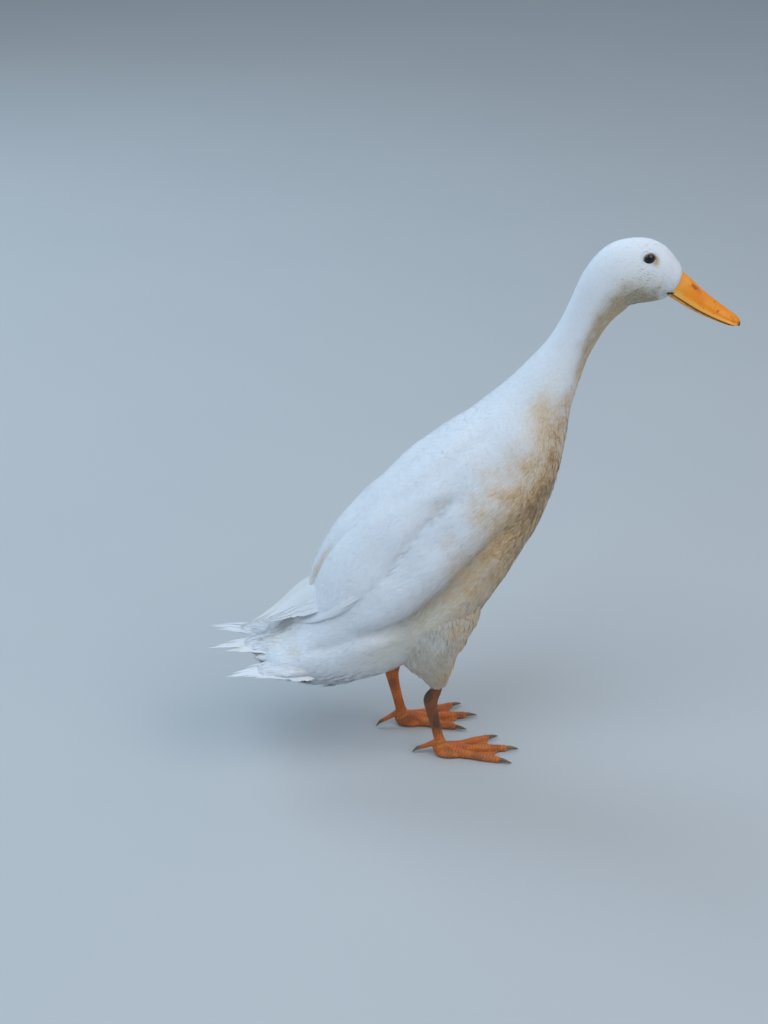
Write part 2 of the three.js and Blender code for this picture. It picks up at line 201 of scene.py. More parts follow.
def placed(points):
    """Millimetres as drawn into metres in the frame. The frame's right eye sets how far forward."""
    low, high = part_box("eye_right")
    forward = (low.x + high.x) / 2 - EYE["centre"][0] * MM
    return np.asarray(points, float) * MM + (forward, 0, 0)


# ---- Curves --------------------------------------------------------------------------------


def rows_at(rows, place):
    """The row at each place, on cubics that pass through every row with the slopes between its
    neighbours."""
    rows = np.asarray(rows, float)
    last = len(rows) - 1
    held = np.clip(place, 0, last)
    i = np.minimum(held.astype(int), last - 1)
    f = (held - i)[..., None]
    padded = np.concatenate([2 * rows[:1] - rows[1:2], rows, 2 * rows[-1:] - rows[-2:-1]])
    a, b, c, d = (padded[i + k] for k in range(4))
    bend = (c - a) / 2 * (f**3 - 2 * f**2 + f) + (d - b) / 2 * (f**3 - f**2)
    return b + (c - b) * (3 * f**2 - 2 * f**3) + bend


def table_at(table, place):
    """Columns of a table at each place, by its first column, in straight lines between rows."""
    table = np.asarray(table, float)
    return [np.interp(place, table[:, 0], column) for column in table[:, 1:].T]


def ease(low, high, value):
    """0 under low and 1 over high, with a smooth S between them."""
    share = np.clip((value - low) / (high - low), 0, 1)
    return share * share * (3 - 2 * share)


def bell(value, width):
    """1 at nought, falling off on both sides as a bell of that width."""
    return np.exp(-((value / width) ** 2))


def unit(vectors):
    """Vectors over their own lengths."""
    return vectors / np.maximum(np.linalg.norm(vectors, axis=-1, keepdims=True), 1e-9)


def round_ends(share, ends):
    """How much of its full section a form has at a share of its length, with round ends."""
    start = 1 - np.clip(share / ends[0], 0, 1)
    end = 1 - np.clip((1 - share) / ends[1], 0, 1)
    return np.sqrt(np.maximum(1 - start**2, 0) * np.maximum(1 - end**2, 0))


def ripple(points, size, seed):
    """A smooth random wave over points, from -1 to 1 or so: the sum of plane waves of about that
    size with random headings and phases."""
    rng = np.random.default_rng(seed)
    waves = 9
    headings = unit(rng.normal(size=(waves, 3)))
    lengths = size * rng.uniform(0.7, 1.6, waves)
    phases = rng.uniform(0, 2 * np.pi, waves)
    total = sum(
        np.sin(points @ headings[k] * 2 * np.pi / lengths[k] + phases[k]) for k in range(waves)
    )
    return total / np.sqrt(waves)


def with_normals(surface, place, turn):
    """Points of a surface and the outward normals, from the slopes along both parameters."""
    step = 0.02
    point = surface(place, turn)
    along = surface(place + step, turn) - surface(place - step, turn)
    across = surface(place, turn + step) - surface(place, turn - step)
    return point, unit(np.cross(across, along))


# ---- The forms -----------------------------------------------------------------------------


def section(rows, ends, place, turn, lift=0.0):
    """A form across a spine in the middle plane: two half ellipses at each place, the upper one
    reaching to the back and the lower one to the belly, square to the spine's slope. Turn is 0 on
    the left and a quarter turn on the back."""
    x, z, slope, up, down, half = np.moveaxis(rows_at(rows, place), -1, 0)
    size = round_ends(place / (len(rows) - 1), ends)
    rise = np.sin(turn)
    reach = (np.where(rise > 0, up, down) + lift) * rise * size
    lean = np.radians(slope)
    y = (half + lift) * np.cos(turn) * size
    return np.stack([x - np.sin(lean) * reach, y, z + np.cos(lean) * reach], -1)


def rise_of(turn):
    """Degrees up a flank from a turn: 0 at the side, 90 on the back and -90 on the belly."""
    return np.degrees(np.arcsin(np.clip(np.sin(turn), -1, 1)))


def turn_of(rise, side):
    """The turn at a rise up one side's flank."""
    return np.radians(rise) if side > 0 else np.pi - np.radians(rise)


def degrees_round(turn):
    """Degrees over the back from the left side, between -90 and 270."""
    return np.degrees(np.mod(turn + np.pi / 2, 2 * np.pi)) - 90


def past_meeting(place, turn):
    """Degrees past the line where the wings meet."""
    return degrees_round(turn) - table_at(WINGS_MEET, place)[0]


def wing_share(place, turn):
    """How far up a wing a place and turn lie, 0 at its lower edge and 1 where the wings meet, and
    how far the wing stands out there."""
    degrees = degrees_round(turn)
    lower, out = table_at(WING, place)
    (meet,) = table_at(WINGS_MEET, place)
    own = np.where(degrees < meet, degrees, 180 - degrees)
    top = np.where(degrees < meet, meet, 180 - meet)
    return (own - lower) / (top - lower), out


def wing_shell(place, turn):
    """How far the folded wings stand out: a lens from the wing's lower edge to the line where the
    wings meet, with a sharp lower lip at the rear and none at the shoulder."""
    share, out = wing_share(place, turn)
    sharpness = 0.45 + 1.1 * ease(4.9, 6.2, place)
    lens = np.maximum(4 * share * (1 - share), 0) ** sharpness
    return out * lens * ease(0.8, 3.4, place) * ease(10.2, 9.2, place)


def wing_plane(place, turn):
    """The smooth plane that the wings' quills lie in, which carries on below the wing's edge."""
    share, out = wing_share(place, turn)
    high = out * (1 - 0.8 * ease(0.6, 1.05, share)) * (1 - ease(-0.15, -0.8, share))
    return section(BODY, BODY_ENDS, place, turn, high)


# Soft hollows (under nought) and swells over the flank: places, rises, depth, width in degrees.
FOLDS = [
    ([4.3, 4.7, 5.3, 6.0, 6.7, 7.3, 8.2], [4, -4, -11, -15, -17, -18, -24], -7.2, 7.5),
    ([4.4, 5.4, 6.6, 7.8, 8.6], [14, 11, 8, 8, 10], 4.4, 12),
    ([5.7, 6.15, 6.6, 7.0, 7.65], [27, 30, 32, 33, 31], -2.8, 3.4),
    ([5.7, 6.15, 6.6, 7.0, 7.65], [36, 39, 41, 42, 40], 1.3, 6),
    ([7.3, 7.6, 7.9], [40, 35, 30], -2.6, 6),
    ([7.0, 7.15, 7.4], [15, 15, 15], -1.8, 6),
    ([6.8, 7.6, 8.6, 9.6], [62, 56, 52, 50], -1.5, 7),
    ([2.2, 3.2, 4.4], [26, 16, 4], -2.2, 8),
    ([9.8, 10.8, 11.8, 12.8], [-52, -54, -58, -62], 0.8, 12),
]


def folds(place, rise):
    """The swells and hollows of the flanks: bells across lines, fading at the lines' ends."""
    total = np.zeros(np.broadcast(place, rise).shape)
    for places, rises, depth, width in FOLDS:
        centre = np.interp(place, places, rises)
        fade = ease(places[0] - 0.5, places[0] + 0.4, place)
        fade = fade * ease(places[-1] + 0.5, places[-1] - 0.4, place)
        total = total + depth * bell(rise - centre, width) * fade
    return total


def body(place, turn, lift=0.0):
    """The outside of the plumage: the plain body, the wings, the folds, a furrow where the wings
    meet, a swell over each hip and a faint unevenness."""
    rise = rise_of(turn)
    furrow = -2.2 * bell(past_meeting(place, turn), 5)
    furrow = furrow * ease(1.2, 2.2, place) * ease(7.4, 6.0, place)
    hips = 7.0 * bell(place - 5.6, 1.4) * bell(rise + 46, 24)
    high = wing_shell(place, turn) + folds(place, rise) + furrow + hips
    plain = section(BODY, BODY_ENDS, place, turn)
    uneven = 0.5 * ripple(plain, 34, 5) * ease(0.5, 3, place) * ease(14, 10, place)
    return section(BODY, BODY_ENDS, place, turn, high + uneven + lift)


def path_form(rows, ends, place, turn, flat=False, lift=0.0):
    """A form along a path through rows of x, y, z and two half sizes: the first lies across the
    path in the upright plane, or flat across it, and the second square to that."""
    ahead = 0.05
    held = np.clip(place, 0, len(rows) - 1)
    row = rows_at(rows, held)
    before = rows_at(rows, held - ahead)[..., :3]
    run = unit(rows_at(rows, held + ahead)[..., :3] - before)
    side = unit(np.array([0, 1, 0]) - run * run[..., 1:2])
    other = np.cross(side, run)
    wide, deep = (side, other) if flat else (other, side)
    size = round_ends(held / (len(rows) - 1), ends)
    first = ((row[..., 3] + lift) * size * np.cos(turn))[..., None]
    second = ((row[..., 4] + lift) * size * np.sin(turn))[..., None]
    return row[..., :3] + wide * first + deep * second


def oval(centre, ahead, over, out, place, turn):
    """An oval form from a centre and three half axes: place is in degrees from the pole, which
    lies at out, and turn runs round from ahead towards over."""
    place, turn = np.radians(place)[..., None], turn[..., None]
    ring = np.sin(place)
    return centre + ahead * ring * np.cos(turn) + over * ring * np.sin(turn) + out * np.cos(place)


def leg_rows(rows, side):
    """The right leg's pattern on one side, with the left leg swung back from its hip."""
    rows = np.array(rows, float)
    swing = STEP if side > 0 else 0
    rows[:, 0] += swing * np.clip((HIP_HEIGHT - rows[:, 2]) / (HIP_HEIGHT - HOCK_HEIGHT), 0, 1)
    rows[:, 1] *= side
    return rows


def thigh(side, lift=0.0):
    """The feathered thigh as a surface of place and turn."""
    rows = leg_rows(THIGH, side)
    return lambda place, turn: path_form(rows, THIGH_ENDS, place, turn, lift=lift)


# ---- Meshes --------------------------------------------------------------------------------


def ring_faces(around, across):
    """Quads of a ring that closes both ways."""
    r, c = np.meshgrid(np.arange(around), np.arange(across), indexing="ij")
    here = r * across + c
    beside = r * across + (c + 1) % across
    ahead = ((r + 1) % around) * across
    return np.stack([here, beside, ahead + (c + 1) % across, ahead + c], -1).reshape(-1, 4)


def grid_faces(rings, around, first):
    """Quads between rings of points that close on themselves, numbered from first."""
    r, c = np.meshgrid(np.arange(rings - 1), np.arange(around), indexing="ij")
    here = first + r * around + c
    beside = first + r * around + (c + 1) % around
    return np.stack([here, beside, beside + around, here + around], -1).reshape(-1, 4)


def closed(surface, last, around, along, crowd=0.0):
    """A closed form from a surface: along is the number of steps from pole to pole, around that of
    the points in each ring, and each pole is one point. Crowd over 0 draws the rings towards both
    ends, by that share of a half cosine. Returns points, faces and each point's parameters."""
    share = np.linspace(0, 1, along + 1)
    share = (1 - crowd) * share + crowd * (1 - np.cos(np.pi * share)) / 2
    place, turn = np.meshgrid(share * last, np.arange(around) * 2 * np.pi / around, indexing="ij")
    points = surface(place, turn)
    rings = points[1:-1].reshape(-1, 3)
    points = np.concatenate([points[:1].mean(1), rings, points[-1:].mean(1)])
    ring = np.arange(around)
    end = 1 + len(rings)
    quads = grid_faces(along - 1, around, 1)
    start_fan = np.stack([np.zeros(around, int), 1 + (ring + 1) % around, 1 + ring], -1)
    last_ring = end - around
    beside = last_ring + (ring + 1) % around
    end_fan = np.stack([np.full(around, end), last_ring + ring, beside], -1)
    faces = [start_fan, quads, end_fan]
    places = np.concatenate([[0], place[1:-1].ravel(), [last]])
    turns = np.concatenate([[0], turn[1:-1].ravel(), [0]])
    return points, outwards(points, faces), places, turns


def outwards(points, faces):
    """Turns all faces round if together they enclose a volume under nought."""
    volume = 0.0
    for f in faces:
        for k in range(1, f.shape[1] - 1):
            a, b, c = points[f[:, 0]], points[f[:, k]], points[f[:, k + 1]]
            volume += np.einsum("ij,ij->", a, np.cross(b, c))
    return [f[:, ::-1] for f in faces] if volume < 0 else faces


def joined(forms):
    """Several (points, faces) forms as one, with the faces renumbered."""
    points, faces, first = [], [], 0
    for form_points, form_faces in forms:
        points.append(form_points)
        faces += [f + first for f in form_faces]
        first += len(form_points)
    return np.concatenate(points), faces


def marks_of(*columns):
    """Markings from four arrays or numbers, kept between 0 and 1."""
    return np.clip(np.stack(np.broadcast_arrays(*columns), -1), 0, 1)


def linked(name, data):
    """An object of the scene."""
    made = bpy.data.objects.new(name, data)
    bpy.context.scene.collection.objects.link(made)
    return made


def piece(name, points, faces, materials, slot, marks=None, maps=None, normals=None, kinds=None):
    """One object from millimetre points and lists of faces. Marks is a colour for each point,
    maps are coordinates for each point, normals are one for each corner of the faces in turn, and
    kinds numbers each face's material."""
    mesh = bpy.data.meshes.new(name)
    loops = np.concatenate([f.ravel() for f in faces]).astype(np.int32)
    sizes = np.concatenate([np.full(len(f), f.shape[1]) for f in faces])
    starts = np.concatenate([[0], np.cumsum(sizes)[:-1]]).astype(np.int32)
    mesh.vertices.add(len(points))
    mesh.vertices.foreach_set("co", placed(points).astype(np.float32).ravel())
    mesh.loops.add(len(loops))
    mesh.loops.foreach_set("vertex_index", loops)
    mesh.polygons.add(len(starts))
    mesh.polygons.foreach_set("loop_start", starts)
    if kinds is not None:
        mesh.polygons.foreach_set("material_index", np.asarray(kinds, np.int32))
    mesh.update(calc_edges=True)
    mesh.polygons.foreach_set("use_smooth", np.ones(len(starts), bool))
    if marks is not None:
        layer = mesh.color_attributes.new("Markings", "FLOAT_COLOR", "POINT")
        layer.data.foreach_set("color", np.asarray(marks, np.float32).ravel())
    for map_name, values in (maps or {}).items():
        layer = mesh.uv_layers.new(name=map_name)
        layer.data.foreach_set("uv", values[loops].astype(np.float32).ravel())
    if normals is not None:
        mesh.normals_split_custom_set(normals.astype(np.float32))
    for material in materials if isinstance(materials, list) else [materials]:
        mesh.materials.append(material)
    made = linked(name, mesh)
    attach(made, "root")
    return made


# ---- Materials -----------------------------------------------------------------------------


class Nodes:
    """A material's node tree, with short ways to add and join its nodes."""

    def __init__(self, name):
        self.material = bpy.data.materials.new(name)
        self.material.use_nodes = True
        self.tree = self.material.node_tree
        self.shader = next(n for n in self.tree.nodes if n.type == "BSDF_PRINCIPLED")
        self.place = self.add("ShaderNodeTexCoord").outputs["Object"]

    def add(self, kind, inputs=None, **settings):
        """A node of a kind, with its inputs by name or number, and its settings."""
        node = self.tree.nodes.new(kind)
        for key, value in settings.items():
            setattr(node, key, value)
        for key, value in (inputs or {}).items():
            self.put(node.inputs[key], value)
        return node

    def put(self, socket, value):
        """Joins another node's socket to an input, or sets a number or a colour there."""
        if isinstance(value, bpy.types.NodeSocket):
            self.tree.links.new(value, socket)
        else:
            socket.default_value = (*value, 1) if socket.type == "RGBA" else value

    def finish(self, colour, roughness, normal=None, **inputs):
        """The material, with its shader's own inputs set by name, _ standing for a space."""
        inputs.update(Base_Color=colour, Roughness=roughness)
        if normal is not None:
            inputs["Normal"] = normal
        for key, value in inputs.items():
            self.put(self.shader.inputs[key.replace("_", " ")], value)
        return self.material

    def markings(self):
        """Red, green, blue and alpha of the Markings."""
        marks = self.add("ShaderNodeAttribute", attribute_name="Markings")
        split = self.add("ShaderNodeSeparateColor", {"Color": marks.outputs["Color"]})
        return *split.outputs, marks.outputs["Alpha"]

    def mix(self, share, first, second, blend="MIX"):
        """The first colour turned into the second by a share."""
        node = self.add("ShaderNodeMix", data_type="RGBA", blend_type=blend)
        for key, value in {"Factor": share, "A": first, "B": second}.items():
            self.put(node.inputs[key], value)
        return node.outputs["Result"]

    def layered(self, colour, *layers):
        """A colour with others laid over it in turn, each by its own share."""
        for share, over in layers:
            colour = self.mix(share, colour, over)
        return colour

    def math(self, operation, *values, clamp=False):
        node = self.add("ShaderNodeMath", dict(enumerate(values)), operation=operation)
        node.use_clamp = clamp
        return node.outputs[0]

    def times(self, first, second):
        return self.math("MULTIPLY", first, second)

    def ramp(self, value, low, high, first=0.0, last=1.0):
        """Value from low to high taken to first to last."""
        ends = {"From Min": low, "From Max": high, "To Min": first, "To Max": last}
        return self.add("ShaderNodeMapRange", {"Value": value, **ends}).outputs[0]

    def noise(self, scale, detail=3.0, roughness=0.5, vector=None):
        """Noise over the object's own place or another vector."""
        inputs = {"Scale": scale, "Detail": detail, "Roughness": roughness}
        inputs["Vector"] = self.place if vector is None else vector
        return self.add("ShaderNodeTexNoise", inputs).outputs["Fac"]

    def stretched(self, vector, scale):
        return self.add("ShaderNodeMapping", {"Vector": vector, "Scale": scale}).outputs[0]

    def bump(self, height, strength, millimetres):
        inputs = {"Height": height, "Strength": strength, "Distance": millimetres * MM}
        return self.add("ShaderNodeBump", inputs).outputs[0]


# Colours in linear red, green and blue.
# WHITE's faint blue is painted light of the blue sky.
WHITE = (0.80, 0.82, 0.86)
CREAM = (0.80, 0.66, 0.42)
TAN = (0.66, 0.46, 0.26)
BROWN = (0.26, 0.155, 0.085)
# The dusty grey is real dust, and painted shade in hollows and down the throat.
DUST_AND_SHADE = (0.29, 0.27, 0.19)
SHADED = (0.62, 0.60, 0.60)
ORANGE_HORN = ((1.0, 0.265, 0.003), (1.0, 0.345, 0.008))
PALE_HORN = (0.98, 0.58, 0.14)
RUDDY_HORN = (0.62, 0.12, 0.02)
HORN_SPECK = (0.09, 0.04, 0.02)
# The bill's near black is dirt, and painted shade in the nostrils and seams.
BILL_DIRT_AND_SHADE = (0.03, 0.022, 0.018)
LEG_ORANGE = ((0.62, 0.13, 0.02), (0.80, 0.23, 0.035))
WEB_ORANGE = (0.72, 0.26, 0.06)
SCALE_GAP = (0.26, 0.05, 0.015)
LEG_CREASE = (0.20, 0.04, 0.015)
LEG_DIRT = (0.20, 0.11, 0.06)
# The leg's dark brown is mud, and painted shade on the near shank.
LEG_MUD_AND_SHADE = (0.13, 0.050, 0.022)
CLAW_HORN = ((0.10, 0.055, 0.03), (0.30, 0.18, 0.10))
EYE_RING = ((0.008, 0.006, 0.006), (0.022, 0.017, 0.018))
PUPIL = (0.003, 0.003, 0.004)
EYE_RIM = (0.09, 0.07, 0.07)
LID_SKIN = ((0.26, 0.17, 0.13), (0.44, 0.33, 0.27))
# The mouth's crease tones are painted shade.
MOUTH_SHADE = ((0.012, 0.009, 0.008), (0.05, 0.035, 0.026))
FLOOR_TONES = ((0.50, 0.51, 0.52), (0.54, 0.54, 0.545))


def plumage_material():
    """White feathering. Markings hold brown in red, for mud and for painted shade in hollows, the
    furrow and the mouth's corner, yellow in green, grey in blue, for dust and for painted shade in
    hollows and down the throat, and the plume's own tone in alpha. Streaks along the lie of the coat
    break the brown up."""
    n = Nodes("plumage")
    lie = n.add("ShaderNodeUVMap", uv_map="Lie").outputs[0]
    mud_and_shade, yellow, dust_and_shade, tone = n.markings()
    streaks = n.noise(1.0, 4.0, 0.65, n.stretched(lie, (1300, 80, 1)))
    patches = n.times(n.ramp(n.noise(70), 0.25, 0.75), 0.7)
    broken = n.math("MULTIPLY_ADD", n.ramp(streaks, 0.32, 0.68), 1.3, patches)
    broken = n.math("MULTIPLY_ADD", broken, 0.55, 0.45)
    mud_and_shade = n.math("MULTIPLY", mud_and_shade, broken, clamp=True)
    light, heavy = n.ramp(mud_and_shade, 0.02, 0.55), n.ramp(mud_and_shade, 0.50, 1.1)
    dust_and_shade_layer = (n.times(dust_and_shade, 0.85), DUST_AND_SHADE)
    coat = n.layered(WHITE, (yellow, CREAM), dust_and_shade_layer, (light, TAN), (heavy, BROWN))
    coat = n.mix(n.times(tone, 0.14), coat, SHADED, "MULTIPLY")
    fine = n.noise(1.0, 2.0, vector=n.stretched(lie, (3600, 320, 1)))
    sheen = {"Specular_IOR_Level": 0.25, "Sheen_Weight": 0.25, "Sheen_Roughness": 0.45}
    return n.finish(coat, 0.72, n.bump(fine, 0.25, 0.4), **sheen)


def bill_material():
    """Orange horn, yellower at the edges. Markings: dark dirt and painted shade in red, a ruddy tint
    in green, the pale yellow edge in blue."""
    n = Nodes("bill")
    darkening, ruddy, pale, _ = n.markings()
    cloud = n.noise(160, 4.0)
    cells = n.add("ShaderNodeTexVoronoi", {"Vector": n.place, "Scale": 420.0})
    dot = n.math("LESS_THAN", cells.outputs["Distance"], 0.20)
    rare = n.math("GREATER_THAN", n.noise(330, 0.0), 0.60)
    speck = n.times(n.times(dot, rare), 0.75)
    horn = n.mix(n.ramp(cloud, 0.35, 0.68), *ORANGE_HORN)
    horn = n.layered(horn, (pale, PALE_HORN), (ruddy, RUDDY_HORN), (speck, HORN_SPECK))
    horn = n.mix(darkening, horn, BILL_DIRT_AND_SHADE)
    grain = n.noise(900, 4.0, 0.6, n.stretched(n.place, (1, 3.2, 1)))
    pores = n.math("MULTIPLY_ADD", cloud, 1.4, grain)
    return n.finish(
        horn,
        n.ramp(grain, 0.3, 0.7, 0.34, 0.5),
        n.bump(pores, 0.22, 0.5),
        Specular_IOR_Level=0.5,
        Subsurface_Weight=0.05,
        Subsurface_Radius=(0.004, 0.0015, 0.0005),
        Subsurface_Scale=0.5,
    )


def leg_material():
    """Orange scaly skin, redder in the creases. Markings: crease depth in red, web in green, mud and
    painted shade in blue."""
    n = Nodes("leg_skin")
    crease, web, mud_and_shade, _ = n.markings()
    scales = {"Vector": n.place, "Scale": 760.0}
    cells = n.add("ShaderNodeTexVoronoi", scales, feature="DISTANCE_TO_EDGE")
    edge = n.ramp(cells.outputs["Distance"], 0.0, 0.14)
    gap = n.times(n.math("SUBTRACT", 1.0, edge), 0.45)
    darkening = n.times(n.ramp(n.noise(60, 5.0, 0.65), 0.52, 0.72), 0.35)
    skin = n.mix(n.ramp(n.noise(110, 4.0), 0.3, 0.7), *LEG_ORANGE)
    skin = n.layered(skin, (n.times(web, 0.6), WEB_ORANGE), (gap, SCALE_GAP))
    skin = n.layered(skin, (crease, LEG_CREASE), (darkening, LEG_DIRT), (mud_and_shade, LEG_MUD_AND_SHADE))
    return n.finish(
        skin,
        0.48,
        n.bump(edge, 0.45, 0.4),
        Subsurface_Weight=0.08,
        Subsurface_Radius=(0.004, 0.0012, 0.0006),
        Subsurface_Scale=0.5,
    )


def claw_material():
    """Brown horn, streaked lengthwise."""
    n = Nodes("claw_horn")
    streak = n.noise(1400, vector=n.stretched(n.place, (0.25, 1, 1)))
    horn = n.mix(n.ramp(streak, 0.35, 0.7), *CLAW_HORN)
    return n.finish(horn, 0.4, n.bump(streak, 0.2, 0.3))


def eye_material():
    """A dark glossy eye. Markings: the iris ring in red, the pale rim of the ball in green."""
    n = Nodes("eye")
    iris, rim, _, _ = n.markings()
    ring = n.mix(n.noise(2600), *EYE_RING)
    ball = n.layered(PUPIL, (iris, ring), (rim, EYE_RIM))
    return n.finish(ball, 0.05, Specular_IOR_Level=0.4)


def lid_material():
    """The bare rim of the eyelids: pale pink skin with fine grain."""
    n = Nodes("eyelid")
    grain = n.noise(1500)
    return n.finish(n.mix(grain, *LID_SKIN), 0.5, n.bump(grain, 0.3, 0.3))


def crease_shade_material():
    """Painted shade: the dark, slightly moist crease behind the corner of the mouth."""
    n = Nodes("mouth_crease_shade")
    return n.finish(n.mix(n.noise(900), *MOUTH_SHADE), 0.55)


def floor_material():
    """A pale floor with faint clouds."""
    n = Nodes("floor")
    return n.finish(n.mix(n.noise(3.0), *FLOOR_TONES), 0.9, Specular_IOR_Level=0.1)


PLUMAGE = plumage_material()
BILL = bill_material()
LEG = leg_material()
CLAW = claw_material()
EYE_BALL = eye_material()
EYELID = lid_material()
MOUTH_CREASE_SHADE = crease_shade_material()

# ---- Markings ------------------------------------------------------------------------------

# How high the mud reaches up the flank, and how strong it is: place, rise, strength.
MUD = [
    [2.5, -70, 0.05],
    [4.5, -36, 0.14],
    [5.2, -22, 0.24],
    [5.9, -13, 0.32],
    [6.5, -7, 0.38],
    [7.3, 0, 0.42],
    [7.6, 10, 0.44],
    [8.1, 21, 0.42],
    [9.0, 24, 0.44],
    [9.7, 16, 0.42],
    [10.2, 16, 0.42],
    [10.8, 20, 0.42],
    [11.3, 24, 0.34],
    [11.8, -6, 0.32],
    [12.3, -36, 0.34],
    [13.2, -50, 0.30],
    [14.5, -56, 0.26],
    [15.5, -52, 0.22],
    [16.4, -62, 0.10],
    [18.0, -80, 0.0],
]


# How high the throat's dirt and painted shade reach: place, rise.
THROAT = [
    [11, -78],
    [12.6, -40],
    [13.6, -10],
    [15, -2],
    [16.2, -2],
    [18, -12],
    [19.2, -23],
    [20.1, -60],
    [21, -90],
]

# Soft spots of each marking: amount, then the middle's place and the reach in places, and the
# middle's rise and the reach in degrees.
SPOTS = {
    "mud_and_shade": [
        (0.42, 9.2, 0.75, -42, 20),
        (0.22, 8.2, 0.9, -34, 16),
        (0.16, 7.4, 1.0, -64, 26),
        # Painted shade in the hollow at the wing's front, with the grey spot there.
        (0.12, 7.55, 6 / 34, 36, 6),
        (0.20, 7.12, 5 / 34, 15, 5),
        # Painted shadow: brown at the roots of the tail's sheaves.
        (0.16, 1.5, 14 / 34, 38, 14),
        # Brown stain and painted shade in the hollow under the flank's bulge.
        (0.22, 6.6, 9 / 34, -14, 9),
    ],
    "yellow": [
        (0.30, 1.0, 0.9, 78, 18),
        (0.26, 17.5, 1.6, -20, 36),
        (0.50, 11.2, 0.8, 14, 17),
        (0.30, 4.6, 1.2, -22, 18),
        (0.25, 6.2, 1.6, -24, 14),
    ],
    "dust_and_shade": [
        # Dust and painted shade low on the flank, over the thigh.
        (0.42, 6.4, 1.9, -42, 20),
        # Painted shade in the hollow at the wing's front.
        (0.22, 7.55, 0.4, 35, 7),
    ],
}


def spots(kind, place, rise):
    """The sum of one marking's spots: bells across places times bells across degrees."""
    return sum(
        amount * bell(place - at, long) * bell(rise - up, wide)
        for amount, at, long, up, wide in SPOTS[kind]
    )


def eye_distance(points):
    """Millimetres from the eye's middle across the side of the head, forward and up."""
    ahead = points[..., 0] - EYE["centre"][0]
    over = points[..., 2] - EYE["centre"][2]
    return ahead, over


def markings(place, turn, points):
    """Mud, yellow, dust and tone at points of the body, from their place and turn. The brown and the
    grey also carry painted shade in hollows, along the furrow, at the mouth's corner and down the
    throat.
    """
    rise = rise_of(turn)
    x, z = points[..., 0], points[..., 2]
    ahead, over = eye_distance(points)
    tear = bell(ahead - 5.2, 2.6) * bell(over + 1.6, 3.4) * ease(17, 18, place)
    # gape is painted shade in the corner of the mouth.
    gape = bell(x - 146, 5) * bell(z - 386.6, 2.4) * ease(17.5, 18.5, place)
    cheek = bell(x - 138, 4.5) * bell(z - 391, 3.2) * ease(17, 18, place)
    cheek = cheek * ease(-0.2, 1.0, ripple(points, 3.2, 17))
    # The throat and the front of the neck: a real stain, darkened further by painted shade.
    (throat,) = table_at(THROAT, place)
    above = rise - throat + 5 * ripple(points, 12, 16)
    front = 0.45 * ease(30, -26, above) + 0.55 * ease(4, -26, above)
    front = front * ease(11.8, 13, place)
    line, strength = table_at(MUD, place)
    wander = 7 * ripple(points, 30, 11) + 3 * ripple(points, 9, 12)
    mud_and_shade = ease(-24, 38, line + wander - rise) * strength * (1.0 + 0.18 * ripple(points, 14, 13))
    # Painted shade: brown along the furrow where the wings meet.
    furrow = bell(past_meeting(place, turn) + 3, 4) * ease(0.8, 1.4, place) * ease(5.4, 4.4, place)
    mud_and_shade = mud_and_shade + spots("mud_and_shade", place, rise) + 0.26 * furrow
    mud_and_shade = mud_and_shade + 0.40 * tear + 0.25 * gape + 0.30 * cheek
    mud_and_shade = mud_and_shade + front * (0.12 + 0.12 * ease(17.4, 16.2, place))
    yellow = spots("yellow", place, rise) + 0.4 * front
    yellow = yellow + 0.22 * ease(20, -20, rise) * bell(place - 8.5, 2.6)
    dust_and_shade = spots("dust_and_shade", place, rise) + 0.95 * front * (1 + 0.2 * ripple(points, 6, 18))
    # Under the jaw and chin: stain and painted shade.
    dust_and_shade = dust_and_shade + 0.30 * ease(5, -45, rise) * bell(place - 16.6, 0.9)
    dust_and_shade = dust_and_shade + 0.22 * ease(-10, -70, rise) * ease(9, 5, place)
    # Painted shade: grey along the hollow under the flank's bulge.
    dust_and_shade = dust_and_shade + 0.60 * bell(rise + 13, 8) * ease(4.4, 5.4, place) * ease(8.4, 7.2, place)
    dust_and_shade = dust_and_shade + 0.9 * tear + 0.5 * gape + 0.7 * cheek
    return marks_of(mud_and_shade, yellow, dust_and_shade, 0.5 + 0.3 * ripple(points, 20, 15))


# ---- The skin ------------------------------------------------------------------------------

# How deep the skin lies under the outside of the plumage, by place along the body.
COAT_DEPTH = [
    [0, 2.6],
    [3, 2.4],
    [9, 2.0],
    [11, 1.5],
    [13, 0.9],
    [15, 0.6],
    [17.5, 0.35],
    [20, 0.22],
    [21, 0.2],
]
# The depth of the coat on the thighs.
THIGH_COAT = 1.7
# The coat's lie on the body, in metres to a radian of turn and to a place.
LIE_ROUND, LIE_ALONG = 0.045, 0.03


def coat_depth(place):
    """The coat's depth at a place, in straight lines between the table's rows."""
    return table_at(COAT_DEPTH, place)[0]


def body_skin():
    """The body's skin: the outside of the plumage drawn in by the coat's depth."""
    inner = lambda place, turn: body(place, turn, -coat_depth(place))
    points, faces, places, turns = closed(inner, BODY_LAST, 160, 300, 0.35)
    lie = np.stack([turns * LIE_ROUND, places * LIE_ALONG], -1)
    return points, faces, markings(places, turns, points), lie


def thigh_skin(side):
    """A thigh's skin, drawn in from the outside of its plumes."""
    inner = thigh(side, -THIGH_COAT)
    points, faces, places, turns = closed(inner, len(THIGH) - 1, 48, 60, 0.3)
    return points, faces, thigh_markings(points), np.stack([turns * 0.02, places * 0.018], -1)


def thigh_markings(points):
    """Dust on the thighs, mud down their front and a little at the hock."""
    ahead = points[..., 0] - THIGH[0][0]
    low = ease(120, 70, points[..., 2])
    mud_and_shade = 0.30 * ease(4, 30, ahead + 6 * ripple(points, 18, 21)) + 0.08 + 0.16 * low
    dust_and_shade = 0.40 + 0.10 * low + 0.08 * ripple(points, 14, 22)
    return marks_of(mud_and_shade, 0.28 + 0.14 * low, dust_and_shade, 0.5 + 0.3 * ripple(points, 16, 23))


